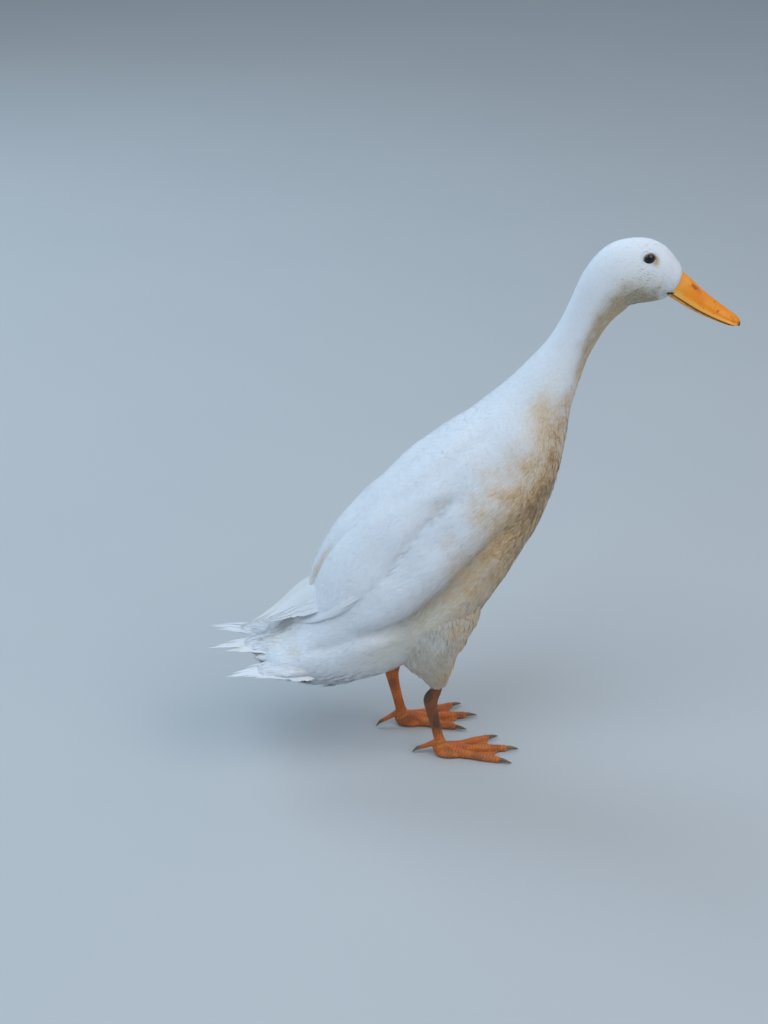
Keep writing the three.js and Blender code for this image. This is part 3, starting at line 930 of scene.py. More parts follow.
# ---- Camera, floor and lights --------------------------------------------------------------

CAMERA_AZIMUTH = -8.0
CAMERA_ELEVATION = 24.0
CAMERA_DISTANCE = 1.658
CAMERA_LENS = 72.84
# From the middle of the frame's box to the middle of the view.
CAMERA_AIM = (-0.072, 0.003, -0.005)


def make_camera():
    """A camera that looks at the bird's near side from a little behind and above."""
    azimuth, elevation = np.radians(CAMERA_AZIMUTH), np.radians(CAMERA_ELEVATION)
    back = np.array([
        np.sin(azimuth) * np.cos(elevation),
        -np.cos(azimuth) * np.cos(elevation),
        np.sin(elevation),
    ])
    aim = np.array((cad_low + cad_high) / 2) + CAMERA_AIM
    camera = linked("camera", bpy.data.cameras.new("camera"))
    camera.data.lens = CAMERA_LENS
    camera.location = aim + back * CAMERA_DISTANCE
    camera.rotation_euler = (np.pi / 2 - elevation, 0, azimuth)
    bpy.context.scene.camera = camera


def make_floor():
    """A wide pale floor just under the soles."""
    half, level = 4.0, -0.0003
    mesh = bpy.data.meshes.new("floor")
    corners = [(x * half, y * half, level) for x, y in ((-1, -1), (1, -1), (1, 1), (-1, 1))]
    mesh.from_pydata(corners, [], [(0, 1, 2, 3)])
    mesh.materials.append(floor_material())
    linked("floor", mesh)


SKY_COLOUR = (0.70, 0.85, 1.0, 1)
SKY_STRENGTH = 0.42
# Soft boxes: where they stand, how wide they are, their power and colour.
LIGHTS = {
    "key": ((-0.9, -0.9, 2.4), 1.8, 28.0, (0.67, 0.84, 1.0)),
    "back": ((-1.2, 1.7, 1.9), 1.6, 26.0, (0.62, 0.82, 1.0)),
    "fill": ((1.6, -1.3, 2.3), 1.8, 26.0, (1.0, 0.93, 0.86)),
}


def make_lights():
    """A pale even sky, and soft boxes that face the bird."""
    world = bpy.data.worlds.new("sky")
    world.use_nodes = True
    background = world.node_tree.nodes["Background"]
    background.inputs["Color"].default_value = SKY_COLOUR
    background.inputs["Strength"].default_value = SKY_STRENGTH
    bpy.context.scene.world = world
    middle = (cad_low + cad_high) / 2
    for name, (where, size, power, colour) in LIGHTS.items():
        light = linked(name, bpy.data.lights.new(name, "AREA"))
        light.data.size, light.data.energy, light.data.color = size, power, colour
        light.location = where
        light.rotation_euler = (middle - light.location).to_track_quat("-Z", "Y").to_euler()


make_camera()
make_floor()
make_lights()
bpy.context.scene.view_settings.view_transform = "Standard"

# ---- Bill ----------------------------------------------------------------------------------

# A nostril on each side of the upper bill: place, rise, half length, half height and depth.
NOSTRIL = {"place": 2.2, "rise": 56, "long": 3.4, "high": 1.3, "depth": 1.4}
# Dark specks on the right of the bill: place, rise, size in millimetres.
BILL_SPECKS = [
    (4.9, 38, 0.5),
    (5.1, 28, 0.6),
    (5.2, 44, 0.45),
    (5.3, 22, 0.6),
    (5.45, 32, 0.6),
    (5.65, 40, 0.45),
    (4.0, 30, 0.7),
    (3.7, 62, 0.5),
    (5.75, 26, 0.5),
]


def bill_measures(place, turn):
    """The rise, how far from a nostril's middle in its own size, and how far from the middle of
    the nail in the nail's size."""
    rise = rise_of(turn)
    over = rows_at(BILL_UPPER, place)[..., 3]
    along = (place - NOSTRIL["place"]) * 12
    across = np.radians(rise - NOSTRIL["rise"]) * over * 0.8 - along * 0.08
    nostril = np.sqrt((along / NOSTRIL["long"]) ** 2 + (across / NOSTRIL["high"]) ** 2)
    nail = np.sqrt(((place - 6.75) / 0.95) ** 2 + ((90 - rise) / 52) ** 2)
    return rise, nostril, nail


def bill_upper(place, turn):
    """The upper half of the bill: its sections, with nostrils sunk in the sides, a nail raised at
    the tip and a thick lip along the mouth."""
    rise, nostril, nail = bill_measures(place, turn)
    lift = -NOSTRIL["depth"] * ease(1.15, 0.45, nostril) + 0.35 * bell(nostril - 1.45, 0.45)
    lift = lift + 0.28 * ease(1.06, 0.9, nail) - 0.12 * bell(nail - 1.12, 0.1)
    lift = lift + 0.30 * bell(rise - 3, 7) * ease(1.2, 2.0, place) * ease(7.0, 6.2, place)
    lift = lift - 0.35 * bell(rise - 16, 7) * ease(1.2, 2.2, place) * ease(6.4, 5.4, place)
    return section(BILL_UPPER, BILL_ENDS, place, turn, lift)


def bill_lower(place, turn):
    """The lower half of the bill: its plain sections."""
    return section(BILL_LOWER, BILL_ENDS, place, turn)


def make_bill():
    """Both halves of the bill, each in place of its solid."""
    points, faces, places, turns = closed(bill_upper, len(BILL_UPPER) - 1, 128, 220, 0.2)
    rise, nostril, nail = bill_measures(places, turns)
    # Painted shade: dark in the nostrils and along the lower edge of the upper half, by the lower
    # one.
    darkening = 0.9 * ease(0.75, 0.3, nostril) + 0.85 * ease(-1.5, -7, rise)
    darkening = darkening + 0.35 * bell(nail - 1.1, 0.07)
    # Darker under the tip: the nail's own dark horn, and painted shade under it.
    darkening = darkening + 1.4 * ease(5.6, 6.5, places) * ease(50, 14, rise)
    on_right = np.cos(turns) < 0
    for at, up, wide in BILL_SPECKS:
        darkening = darkening + 0.8 * bell(places - at, wide / 13) * bell(rise - up, wide * 9) * on_right
    ruddy = 0.8 * bell(nostril - 1.0, 0.45) + 0.3 * bell(places - 2.9, 0.7) * bell(rise - 46, 16)
    pale = 0.5 * bell(rise - 4, 8) + 0.45 * ease(0.98, 0.8, nail) + 0.25 * ease(1.9, 1.3, places)
    marks = marks_of(darkening, ruddy, pale, 1)
    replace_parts(piece("bill_upper_horn", points, faces, BILL, "bill", marks), "bill_upper")
    points, faces, places, turns = closed(bill_lower, len(BILL_LOWER) - 1, 96, 160, 0.2)
    rise = rise_of(turns)
    # Painted shade: the lower half is dark along its top, under the upper half's edge, and at its
    # tip; the ripple below adds real dirt.
    darkening = 0.9 * ease(-4, 4, rise) + 0.55 * ease(5.3, 6.0, places)
    darkening = darkening + 0.3 * ease(0.3, 1.2, ripple(points, 5, 31))
    pale = 0.8 * ease(-4, -20, rise)
    marks = marks_of(darkening, 0.2 * pale, pale, 1)
    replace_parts(piece("bill_lower_horn", points, faces, BILL, "bill", marks), "bill_lower")


# ---- Eyes ----------------------------------------------------------------------------------


# The crease behind the corner of the mouth, painted dark as its shade: x and z of its middle,
# its half length and height.
CREASE = (147.2, 386.6, 3.6, 1.25)


def eye_axes(side):
    """An eye's middle, and its forward, upward and outward directions."""
    yaw = np.radians(EYE["yaw"])
    ahead = np.array([np.cos(yaw), -side * np.sin(yaw), 0])
    out = np.array([np.sin(yaw), side * np.cos(yaw), 0])
    return np.array(EYE["centre"]) * (1, side, 1), ahead, np.array([0, 0, 1.0]), out


def make_eyes():
    """The balls of the eyes: ellipsoids with the cornea bulging from them, their poles outwards."""
    wide, deep, high = EYE["half"]
    for name, side in SIDES.items():
        centre, ahead, over, out = eye_axes(side)

        def ball(place, turn):
            bulge = deep * (1 + 0.10 * ease(42, 10, place))[..., None]
            return oval(centre, wide * ahead, high * over, bulge * out, place, turn)

        points, faces, places, _ = closed(ball, 180, 64, 64)
        iris = ease(30, 36, places) * ease(66, 60, places)
        marks = marks_of(iris, ease(62, 68, places), 0, 1)
        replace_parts(piece(f"eyeball_{name}", points, faces, EYE_BALL, "eye", marks), f"eye_{name}")


def lid_form(side):
    """The eyelids' rim: a ring round the opening, thicker above, with a shallow fold outside."""
    centre, ahead, over, out = eye_axes(side)
    around, across = 96, 20
    angles = (np.arange(count) * 2 * np.pi / count for count in (around, across))
    turn, ring = np.meshgrid(*angles, indexing="ij")
    thick = 0.50 + 0.14 * np.sin(turn) + 0.04 * np.sin(turn * 23)
    wide = 4.6 + 0.5 * bell(np.abs(np.sin(turn / 2)), 0.35) + thick * np.cos(ring)
    high = 4.2 + thick * np.cos(ring)
    outward = 1.15 + 0.6 * thick * np.sin(ring) - 0.35 * np.abs(np.cos(turn))
    points = centre + (wide * np.cos(turn))[..., None] * ahead
    points = points + (high * np.sin(turn))[..., None] * over + outward[..., None] * out
    points = points.reshape(-1, 3)
    return points, outwards(points, [ring_faces(around, across)])


def make_creases():
    """Thin dark lenses of painted shade at the corners of the mouth, drawn out along the bill, with
    uneven rims.
    """
    x, z, half_long, half_high = CREASE
    rises = np.linspace(-70, 40, 221)
    for name, side in SIDES.items():
        places = np.linspace(17, 20.9, 157)
        place, turn = np.meshgrid(places, turn_of(rises, side), indexing="ij")
        spot = body(place, turn)
        nearest = np.hypot(spot[..., 0] - x, spot[..., 2] - z).argmin()
        nearest = np.unravel_index(nearest, place.shape)
        centre, out = with_normals(body, place[nearest], turn[nearest])
        out = out * np.sign(out[1] * side)
        ahead = unit(np.array([1, 0, -0.22]) - out * out[0])
        over = np.cross(out, ahead) * -side

        def lens(place, turn):
            rim = 1 + 0.22 * np.sin(3 * turn + 0.6) + 0.12 * np.sin(7 * turn)
            long, high = (half_long * rim)[..., None] * ahead, (half_high * rim)[..., None] * over
            return oval(centre, long, high, 0.5 * out, place, turn)

        points, faces, _, _ = closed(lens, 180, 32, 12)
        piece(f"mouth_crease_shade_{name}", points, faces, MOUTH_CREASE_SHADE, "bill")


make_bill()
make_eyes()

# ---- Legs ----------------------------------------------------------------------------------


def ankle(side):
    """The point on the floor under a shank's foot end."""
    row = leg_rows(SHANK, side)[-1]
    return np.array([row[0], row[1], 0.0])


def toe_heading(side, turn):
    """The direction of a toe that is turned outwards by so many degrees."""
    out = np.radians(turn)
    return np.array([np.cos(out), side * np.sin(out), 0.0])


def toe_rows(side, toe):
    """A front toe's path: straight out from the ankle, with its joints' heights and widths."""
    turn, length, half = toe
    share, height, width = np.array(TOE_JOINTS, float).T
    spine = ankle(side) + toe_heading(side, turn) * (share * length)[:, None]
    spine[:, 2] = height
    return np.column_stack([spine, half * width, height + 0.4])


def hind_rows(side):
    """The hind toe's path, back from the ankle."""
    back, inwards, height, half = np.array(HIND_TOE, float).T
    spine = ankle(side) + np.column_stack([-back, -side * inwards, height])
    return np.column_stack([spine, half, half])


def web_form(side):
    """The web: a thin closed sheet between the toes, bowed back between their tips and sagging a
    little between them. Place runs out from the ankle and turn across it and back underneath."""
    headings, lengths, _ = np.array(list(TOES.values()), float).T

    def sheet(place, turn):
        across = (1 - np.cos(turn)) / 2
        heading = np.radians(np.interp(across, [0, 0.5, 1], headings))
        reach = np.interp(across, [0, 0.5, 1], lengths) * 0.95
        between = np.abs(np.sin(2 * np.pi * across))
        far = place * reach * (1 - 0.13 * between * place**2)
        high = 1.15 + 1.6 * ease(0.5, 0.0, place) - 0.35 * between * place
        wrinkle = 0.12 * np.sin(far * 1.5 + 6 * across) * between
        z = np.where(np.sin(turn) >= 0, high + wrinkle, 0.35)
        x = ankle(side)[0] + far * np.cos(heading)
        y = ankle(side)[1] + side * far * np.sin(heading)
        return np.stack([x, y, z], -1)

    return closed(sheet, 1.0, 96, 48)[:2]


def ball_form(centre, half):
    """An ellipsoid, upright."""
    ahead, aside, up = np.diag(half)
    ball = lambda place, turn: oval(centre, ahead, aside, up, place, turn)
    return closed(ball, 180, 32, 20)[:2]


def path_mesh(rows, ends, around, along, flat=False):
    """A closed form along a path, as points and faces."""
    surface = lambda place, turn: path_form(rows, ends, place, turn, flat)
    return closed(surface, len(rows) - 1, around, along, 0.3)[:2]


def leg_forms(side):
    """All the forms that run together in one bare leg and foot."""
    under = ankle(side)
    forms = [path_mesh(leg_rows(SHANK, side), SHANK_ENDS, 40, 70)]
    forms += [path_mesh(toe_rows(side, toe), (0.06, 0.06), 28, 60, True) for toe in TOES.values()]
    forms.append(path_mesh(hind_rows(side), (0.1, 0.1), 24, 30))
    forms.append(ball_form(under + (0, 0, 6), (7, 5.4, 6.4)))
    forms.append(ball_form(under + (9, 0, 2.6), (15, 10, 4.6)))
    forms.append(web_form(side))
    return forms


def fused(points, faces, voxel):
    """The outside of forms that pass through each other, as one even mesh: points and quads."""
    mesh = bpy.data.meshes.new("fusing")
    mesh.from_pydata((points * MM).tolist(), [], [f.tolist() for group in faces for f in group])
    made = linked("fusing", mesh)
    remesh = made.modifiers.new("fuse", "REMESH")
    remesh.mode = "VOXEL"
    remesh.voxel_size = voxel * MM
    result = made.evaluated_get(bpy.context.evaluated_depsgraph_get()).to_mesh()
    count = len(result.vertices)
    found = np.zeros(count * 3, np.float32)
    result.vertices.foreach_get("co", found)
    corners = np.zeros(len(result.loops), np.int32)
    result.loops.foreach_get("vertex_index", corners)
    bpy.data.objects.remove(made)
    bpy.data.meshes.remove(mesh)
    return found.reshape(-1, 3).astype(float) / MM, corners.reshape(-1, 4)


def relaxed(points, quads, rounds):
    """Each point drawn halfway to the mean of its neighbours, a number of times."""
    starts = np.concatenate([quads[:, k] for k in range(4)])
    ends = np.concatenate([quads[:, (k + 1) % 4] for k in range(4)])
    count = np.bincount(starts, minlength=len(points))[:, None]
    for _ in range(rounds):
        total = np.stack([np.bincount(starts, points[ends, k], len(points)) for k in range(3)], -1)
        points = 0.5 * points + 0.5 * total / count
    return points


def quad_normals(points, quads):
    """Outward normals at points, from the faces round them."""
    a, b, c, d = (points[quads[:, k]] for k in range(4))
    face = np.cross(c - a, d - b)
    total = np.zeros_like(points)
    for k in range(4):
        for axis in range(3):
            total[:, axis] += np.bincount(quads[:, k], face[:, axis], len(points))
    return unit(total)


# Sizes on a bare leg in millimetres: the round scales, the plates down the shank and those along
# the toes, and the fused mesh's voxel.
SCALE, SHANK_PLATE, TOE_PLATE, LEG_VOXEL = 2.3, 3.1, 2.6, 0.61


def plated(height, crease, share, along, pitch, tall, slope, gap):
    """Height and crease with lapping plates laid over them by a share: each plate rises steeply
    and falls away slowly along its pitch, with a crease between it and the next."""
    phase = np.mod(along / pitch, 1)
    height = height * (1 - share) + share * tall * (ease(0, slope, phase) - phase * 0.6)
    crease = crease * (1 - share) + share * 0.7 * bell(np.minimum(phase, 1 - phase), gap)
    return height, crease


def scutes(points, normals, side):
    """Scales on a bare leg, as a height and a crease at each point: plates across the front of
    the shank and along the top of each toe, and small round scales, from three crossed waves,
    elsewhere. Also how much of the web lies there."""
    place = points - ankle(side)
    lines = [np.array(v) for v in ((1, 0.2, 0), (-0.35, 0.95, 0.3), (-0.3, -0.75, 0.8))]
    round_scales = sum(np.cos(points @ unit(v) * 2 * np.pi / SCALE) for v in lines) / 3
    height = 0.10 * round_scales
    crease = ease(-0.05, -0.45, round_scales) * 0.35
    shank = ease(14, 20, points[:, 2])
    front = ease(0.25, 0.65, normals[:, 0]) * shank
    height, crease = plated(height, crease, front, points[:, 2], SHANK_PLATE, 0.28, 0.18, 0.09)
    top = ease(0.2, 0.6, normals[:, 2]) * (1 - shank)
    on_toe = np.zeros(len(points))
    for turn, length, half in TOES.values():
        heading = toe_heading(side, turn)
        along = place @ heading
        off = np.abs(place @ np.array([-heading[1], heading[0], 0]))
        near = ease(half + 0.6, half - 0.9, off) * ease(6, 12, along)
        near = near * ease(length + 2, length, along) * top
        height, crease = plated(height, crease, near, along, TOE_PLATE, 0.26, 0.2, 0.1)
        on_toe = np.maximum(on_toe, near)
    return height, crease, (1 - on_toe) * (1 - shank) * ease(4.5, 2.5, points[:, 2])


def bare_leg(side):
    """The scaly skin of one shank and foot, fused from its forms."""
    points, quads = fused(*joined(leg_forms(side)), LEG_VOXEL)
    points = relaxed(points, quads, 3)
    if np.einsum("ij,ij->", points, quad_normals(points, quads)) < 0:
        quads = quads[:, ::-1]
    normals = quad_normals(points, quads)
    height, crease, web = scutes(points, normals, side)
    points = points + normals * height[:, None]
    points[:, 2] = np.maximum(points[:, 2], 0.0)
    # The near shank, on the right, darkens far more than the far one: mud and painted shade. The
    # ripple adds mud on both feet.
    shank = ease(16, 30, points[:, 2]) * ease(70, 60, points[:, 2] + 3 * ripple(points, 9, 31))
    mud_and_shade = 0.75 * shank * (side < 0) + 0.30 * ease(0.1, 0.9, ripple(points, 15, 32))
    return points, [quads], marks_of(crease, web, mud_and_shade, 1), points[:, :2] * MM


def make_skin():
    """One skin for the whole bird: body, thighs and eyelids under the coat, and the bare legs."""
    plain = lambda form: (form[0], form[1], np.zeros((len(form[0]), 4)), form[0][:, :2] * MM)
    parts = [(0, body_skin())]
    for side in SIDES.values():
        parts.append((0, thigh_skin(side)))
        parts.append((1, bare_leg(side)))
        parts.append((2, plain(lid_form(side))))
    points, faces = joined([(form[0], form[1]) for _, form in parts])
    kinds = np.concatenate([np.full(sum(len(f) for f in form[1]), kind) for kind, form in parts])
    marks = np.concatenate([form[2] for _, form in parts])
    lie = np.concatenate([form[3] for _, form in parts])
    materials = [PLUMAGE, LEG, EYELID]
    skin = piece("skin", points, faces, materials, "plumage", marks, {"Lie": lie}, kinds=kinds)
    flesh = ["head", "neck_upper", "neck_lower", "breast", "trunk", "rump"]
    for side_name in SIDES:
        flesh += [f"{part}_{side_name}" for part in ("thigh", "shank", "foot")]
    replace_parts(skin, *flesh)


def claw_mesh(root, ahead, length):
    """A claw: a cone from a toe's end that curves down to just over the floor."""
    share = np.linspace(-0.2, 1, 7)
    spine = root + ahead * (share * length)[:, None]
    drop = np.clip(share, 0, 1) ** 1.6 * (root[2] - 0.9)
    spine[:, 2] = root[2] - drop
    half = 1.55 * (1 - np.clip(share, 0, 1) ** 1.5) + 0.28
    rows = np.column_stack([spine, half * 0.85, half])
    return path_mesh(rows, (0.06, 0.06), 20, 28)


def make_claws():
    """All the claws, each in place of its solid."""
    for side_name, side in SIDES.items():
        roots = []
        for turn, length, _ in TOES.values():
            ahead = toe_heading(side, turn)
            roots.append((ankle(side) + ahead * length + (0, 0, 2.6), ahead, 9))
        hind = hind_rows(side)
        back = unit((hind[-1, :3] - hind[-2, :3]) * (1, 1, 0))
        roots.append((hind[-1, :3], back, 5.5))
        for i, (root, ahead, length) in enumerate(roots, 1):
            name = f"claw_horn_{side_name}_{i}"
            claw = piece(name, *claw_mesh(root, ahead, length), CLAW, "claw")
            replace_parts(claw, f"claw_{side_name}_{i}")


make_skin()
make_claws()

# ---- The coat's sheets ---------------------------------------------------------------------


# The steps of a sequence that strews points evenly over a square.
STREWN = (0.7548776662, 0.5698402910)
# How wide a barb or a vane is on the bake map.
PATCH = 0.003
# The fewest millimetres to a radian that a barb's spread is reckoned with, near a pole.
MIN_PER_TURN = 2.5
# The body's part of the bake map: left, bottom, width and height.
BODY_ISLAND = (0.01, 0.01, 0.78, 0.97)


class Sheet:
    """A closed surface drawn once on a fine grid of place and turn, to be read at any point of it:
    points, outward normals, millimetres to a place and to a radian, and markings."""

    ROWS = 640
    COLUMNS = 640

    def __init__(self, surface, last, marker, island):
        self.last = last
        self.island = island
        place = np.linspace(0, last, self.ROWS + 1)[:, None]
        turn = np.linspace(0, 2 * np.pi, self.COLUMNS + 1)[None]
        place, turn = np.broadcast_arrays(place, turn)
        points = surface(place, turn)
        along = np.gradient(points, axis=0) * self.ROWS / last
        across = np.gradient(points, axis=1) * self.COLUMNS / (2 * np.pi)
        scale = [np.linalg.norm(v, axis=-1, keepdims=True) for v in (along, across)]
        self.place, self.turn, self.scale = place, turn, scale
        normals = unit(np.cross(across, along))
        table = [points, normals, *scale, marker(place, turn, points)]
        self.table = np.concatenate(table, -1).astype(np.float32).reshape(-1, 12)

    def read(self, place, turn):
        """Points, normals, the two scales and markings."""
        u = np.clip(place / self.last, 0, 1) * self.ROWS
        v = np.mod(turn, 2 * np.pi) / (2 * np.pi) * self.COLUMNS
        i = np.minimum(u.astype(int), self.ROWS - 1)
        j = np.minimum(v.astype(int), self.COLUMNS - 1)
        f, g = (u - i)[..., None], (v - j)[..., None]
        here = i * (self.COLUMNS + 1) + j
        below = here + self.COLUMNS + 1
        start = self.table[here] * (1 - g) + self.table[here + 1] * g
        end = self.table[below] * (1 - g) + self.table[below + 1] * g
        found = start * (1 - f) + end * f
        return found[..., :3], unit(found[..., 3:6]), found[..., 6], found[..., 7], found[..., 8:]

    def sow(self, spacing, kept, seed):
        """Roots over the sheet, evenly strewn at a spacing: a low-discrepancy sequence taken
        through the running totals of the area over the spacing squared. Both arguments are
        functions of place and turn, and kept is the share of roots that stays."""
        cell = self.last / self.ROWS * 2 * np.pi / self.COLUMNS
        weight = self.scale[0][..., 0] * self.scale[1][..., 0] * cell
        weight = weight / spacing(self.place, self.turn) ** 2 * kept(self.place, self.turn)
        weight = weight[:-1, :-1]
        rows = weight.sum(1)
        count = int(rows.sum())
        k = np.arange(count) + seed
        first = np.mod(0.5 + k * STREWN[0], 1) * rows.sum()
        second = np.mod(0.5 + k * STREWN[1], 1)
        ends = np.cumsum(rows)
        i = np.minimum(np.searchsorted(ends, first), self.ROWS - 1)
        part = (first - (ends[i] - rows[i])) / np.maximum(rows[i], 1e-9)
        flat = np.cumsum(weight.ravel())
        wanted = flat[i * self.COLUMNS] - weight[i, 0] + second * rows[i]
        j = np.clip(np.searchsorted(flat, wanted) - i * self.COLUMNS, 0, self.COLUMNS - 1)
        over = (wanted - flat[i * self.COLUMNS + j] + weight[i, j]) / np.maximum(weight[i, j], 1e-9)
        place = (i + np.clip(part, 0, 1)) / self.ROWS * self.last
        turn = (j + np.clip(over, 0, 1)) / self.COLUMNS * 2 * np.pi
        return place, turn

    def spot(self, place, turn):
        """Where a place and turn lie on the bake map."""
        left, bottom, wide, tall = self.island
        round_share = np.mod(turn, 2 * np.pi) / (2 * np.pi)
        return np.stack([left + round_share * wide, bottom + place / self.last * tall], -1)


# One barb of a plume: a flat spike from a root point through two rings of three points to a tip.
# Each point's share of the length, its side, and its height as a share of the thickness.
BARB_POINTS = np.array([
    [0.00, 0, 0.0],
    [0.35, -0.75, 0],
    [0.35, 0, 1],
    [0.35, 0.75, 0],
    [0.75, -1, 0],
    [0.75, 0, 1],
    [0.75, 1, 0],
    [1.00, 0, 0.2],
])
# Its faces, and whether each looks down to the skin.
BARB_TRIANGLES = [
    ((0, 1, 2), False),
    ((0, 2, 3), False),
    ((0, 3, 1), True),
    ((7, 5, 4), False),
    ((7, 6, 5), False),
    ((7, 4, 6), True),
]
BARB_QUADS = [((1, 4, 5, 2), False), ((2, 5, 6, 3), False), ((3, 6, 4, 1), True)]


# How far a barb's shading normals lean out at its edges, and with its place in the fan.
EDGE_LEAN, FAN_LEAN = 0.20, 0.08


def plumes(sheet, place, turn, heading, size, barbs, seed):
    """Plumes rooted at places and turns of a sheet, as fans of barbs that hug it. Heading is the
    angle from the sheet's falling place towards its rising turn. Size holds each plume's length,
    breadth, sink of the root, stand of the tip and curl.

    At a share t of its length, a barb runs s = length t along the heading. It lies w to the side:
    half the plume's breadth times its share of the fan and an opening of 1 - (1 - t)^2, which
    narrows again at the tip, plus the curl times t squared. It stands over the sheet by
    -sink (1 - t)^3.6 + stand t^2, and its own thickness. Returns points, normals for the upper and
    lower faces, markings, the lie of the coat and places on the bake map, all per barb."""
    rng = np.random.default_rng(seed)
    count = len(place)
    spread = np.linspace(-1, 1, barbs) if barbs > 1 else np.zeros(1)
    share = np.broadcast_to(spread, (count, barbs)).reshape(-1, 1)
    place, turn, heading = (np.repeat(v, barbs)[:, None] for v in (place, turn, heading))
    length, breadth, sink, stand, curl = (np.repeat(v, barbs)[:, None] for v in size)
    shape = (len(share), 1)
    length = length * (1 - 0.20 * share**2) * rng.uniform(0.84, 1.08, shape)
    share = share + rng.normal(0, 0.10, shape)
    t, side, up = BARB_POINTS.T
    half = breadth / max(barbs, 2) * 0.72
    s = length * t
    opening = (1 - (1 - t) ** 2) * (1 - 0.30 * t**3)
    w = breadth / 2 * share * opening + half * side + curl * length * t**2
    w = w + rng.normal(0, 0.022, shape) * length * t**2
    back = s * np.cos(heading) - w * np.sin(heading)
    across = s * np.sin(heading) + w * np.cos(heading)
    _, _, per_place, per_turn, _ = sheet.read(place, turn)
    middle_place = place - back[:, 3:4] / per_place
    middle_turn = turn + across[:, 3:4] / np.maximum(per_turn, MIN_PER_TURN)
    _, _, per_place, per_turn, _ = sheet.read(middle_place, middle_turn)
    at = (place - back / per_place, turn + across / np.maximum(per_turn, MIN_PER_TURN))
    points, normals, _, _, marks = sheet.read(*at)
    stand = stand * rng.uniform(0.5, 1.4, shape)
    high = -sink * (1 - t) ** 3.6 + stand * t**2 + (0.04 + 0.05 * half) * up
    points = points + normals * high[..., None]
    ahead = unit(points[:, 7:8] - points[:, 0:1])
    aside = unit(np.cross(normals, ahead))
    lean = EDGE_LEAN * side + FAN_LEAN * share
    upper = unit(normals + aside * lean[..., None] + ahead * (0.10 * t)[..., None])
    own = rng.uniform(0, 1, shape)
    marks[..., :3] *= 0.74 + 0.52 * rng.uniform(0, 1, (*shape, 1))
    marks[..., 3] = np.clip(0.35 * marks[..., 3] + 0.75 * own - 0.1, 0, 1)
    lie = np.stack([turn * LIE_ROUND + (w + 7 * own) * MM, place * LIE_ALONG - s * MM], -1)
    bake = sheet.spot(place, turn) + np.stack([(side + 1) / 2, t], -1) * PATCH
    return points, upper, -normals, marks, lie, bake


def picked(made, which):
    """Some of the barbs that plumes returns."""
    return tuple(part[which] for part in made)


def merged(made):
    """Several results of plumes as one."""
    return tuple(np.concatenate(parts) for parts in zip(*made))


def plume_piece(name, made):
    """One object from what plumes returns."""
    points, upper, lower, marks, lie, bake = made
    first = (np.arange(len(points)) * len(BARB_POINTS))[:, None]
    faces, normals = [], []
    for group in (BARB_TRIANGLES, BARB_QUADS):
        for corners, down in group:
            faces.append(first + np.array(corners))
            normals.append((lower if down else upper)[:, corners].reshape(-1, 3))
    points, marks, lie, bake = (v.reshape(-1, v.shape[-1]) for v in (points, marks, lie, bake))
    maps = {"OFBake": bake, "Lie": lie}
    piece(name, points, faces, PLUMAGE, "plumage", marks, maps, np.concatenate(normals))


# ---- The coat ------------------------------------------------------------------------------

# Body plumes by place: spacing of the roots, length, breadth and stand of the tips.
COAT = [
    [0.0, 3.6, 15, 8, 0.9],
    [1.5, 3.7, 20, 9, 0.5],
    [4.0, 3.8, 22, 10.5, 0.16],
    [7.0, 3.8, 21, 10.5, 0.12],
    [9.5, 3.5, 17, 9, 0.14],
    [11.0, 2.9, 13, 7.4, 0.16],
    [12.5, 2.3, 9.5, 5.2, 0.15],
    [14.0, 1.8, 6.8, 3.8, 0.12],
    [16.0, 1.45, 5.0, 2.8, 0.09],
    [17.5, 1.05, 3.8, 1.9, 0.06],
    [19.0, 0.86, 3.0, 1.6, 0.05],
    [21.0, 0.75, 2.0, 1.2, 0.04],
]
# The number of barbs to a plume from each place on.
BARBS = ((0, 7), (11.2, 5), (13.4, 3), (16.6, 1))
# The pieces of the body's coat: the places that each runs from and to.
REGIONS = {
    "rump": (0, 3.5),
    "trunk": (3.5, 7.5),
    "breast": (7.5, 10.6),
    "neck_lower": (10.6, 13.4),
    "neck_upper": (13.4, 16.6),
    "head": (16.6, 21),
}


def own_side(turn):
    """1 on the left, -1 on the right, and nought in the middle of back and belly."""
    return np.tanh(3 * np.cos(turn))


def within(rows, ends, points, grow):
    """How far out points lie in a form across a spine in the middle plane, as a share of its
    section, over the sections that pass within 3 mm: under 1 is inside."""
    last = len(rows) - 1
    place = np.linspace(0, last, 241)
    row = rows_at(rows, place)
    size = round_ends(place / last, ends)
    lean = np.radians(row[:, 2])
    ahead = points[:, None, 0] - row[:, 0]
    over = points[:, None, 2] - row[:, 1]
    along = ahead * np.cos(lean) + over * np.sin(lean)
    reach = over * np.cos(lean) - ahead * np.sin(lean)
    tall = np.where(reach > 0, row[:, 3], row[:, 4]) * size + grow
    wide = row[:, 5] * size + grow
    share = np.hypot(reach / tall, points[:, None, 1] / wide)
    return np.where(np.abs(along) < 3.0, share, np.inf).min(1)


def clear_of_face(points):
    """Which barbs stay off the bill and the eyes, from their roots and tips."""
    stays = np.ones(len(points), bool)
    for end in (points[:, 0], points[:, -1]):
        for half_bill in (BILL_UPPER, BILL_LOWER):
            stays &= within(half_bill, BILL_ENDS, end, 0.1) > 1
        ahead, over = eye_distance(end)
        stays &= np.hypot(ahead / EYE["clear"][0], over / EYE["clear"][1]) > 1
    return stays


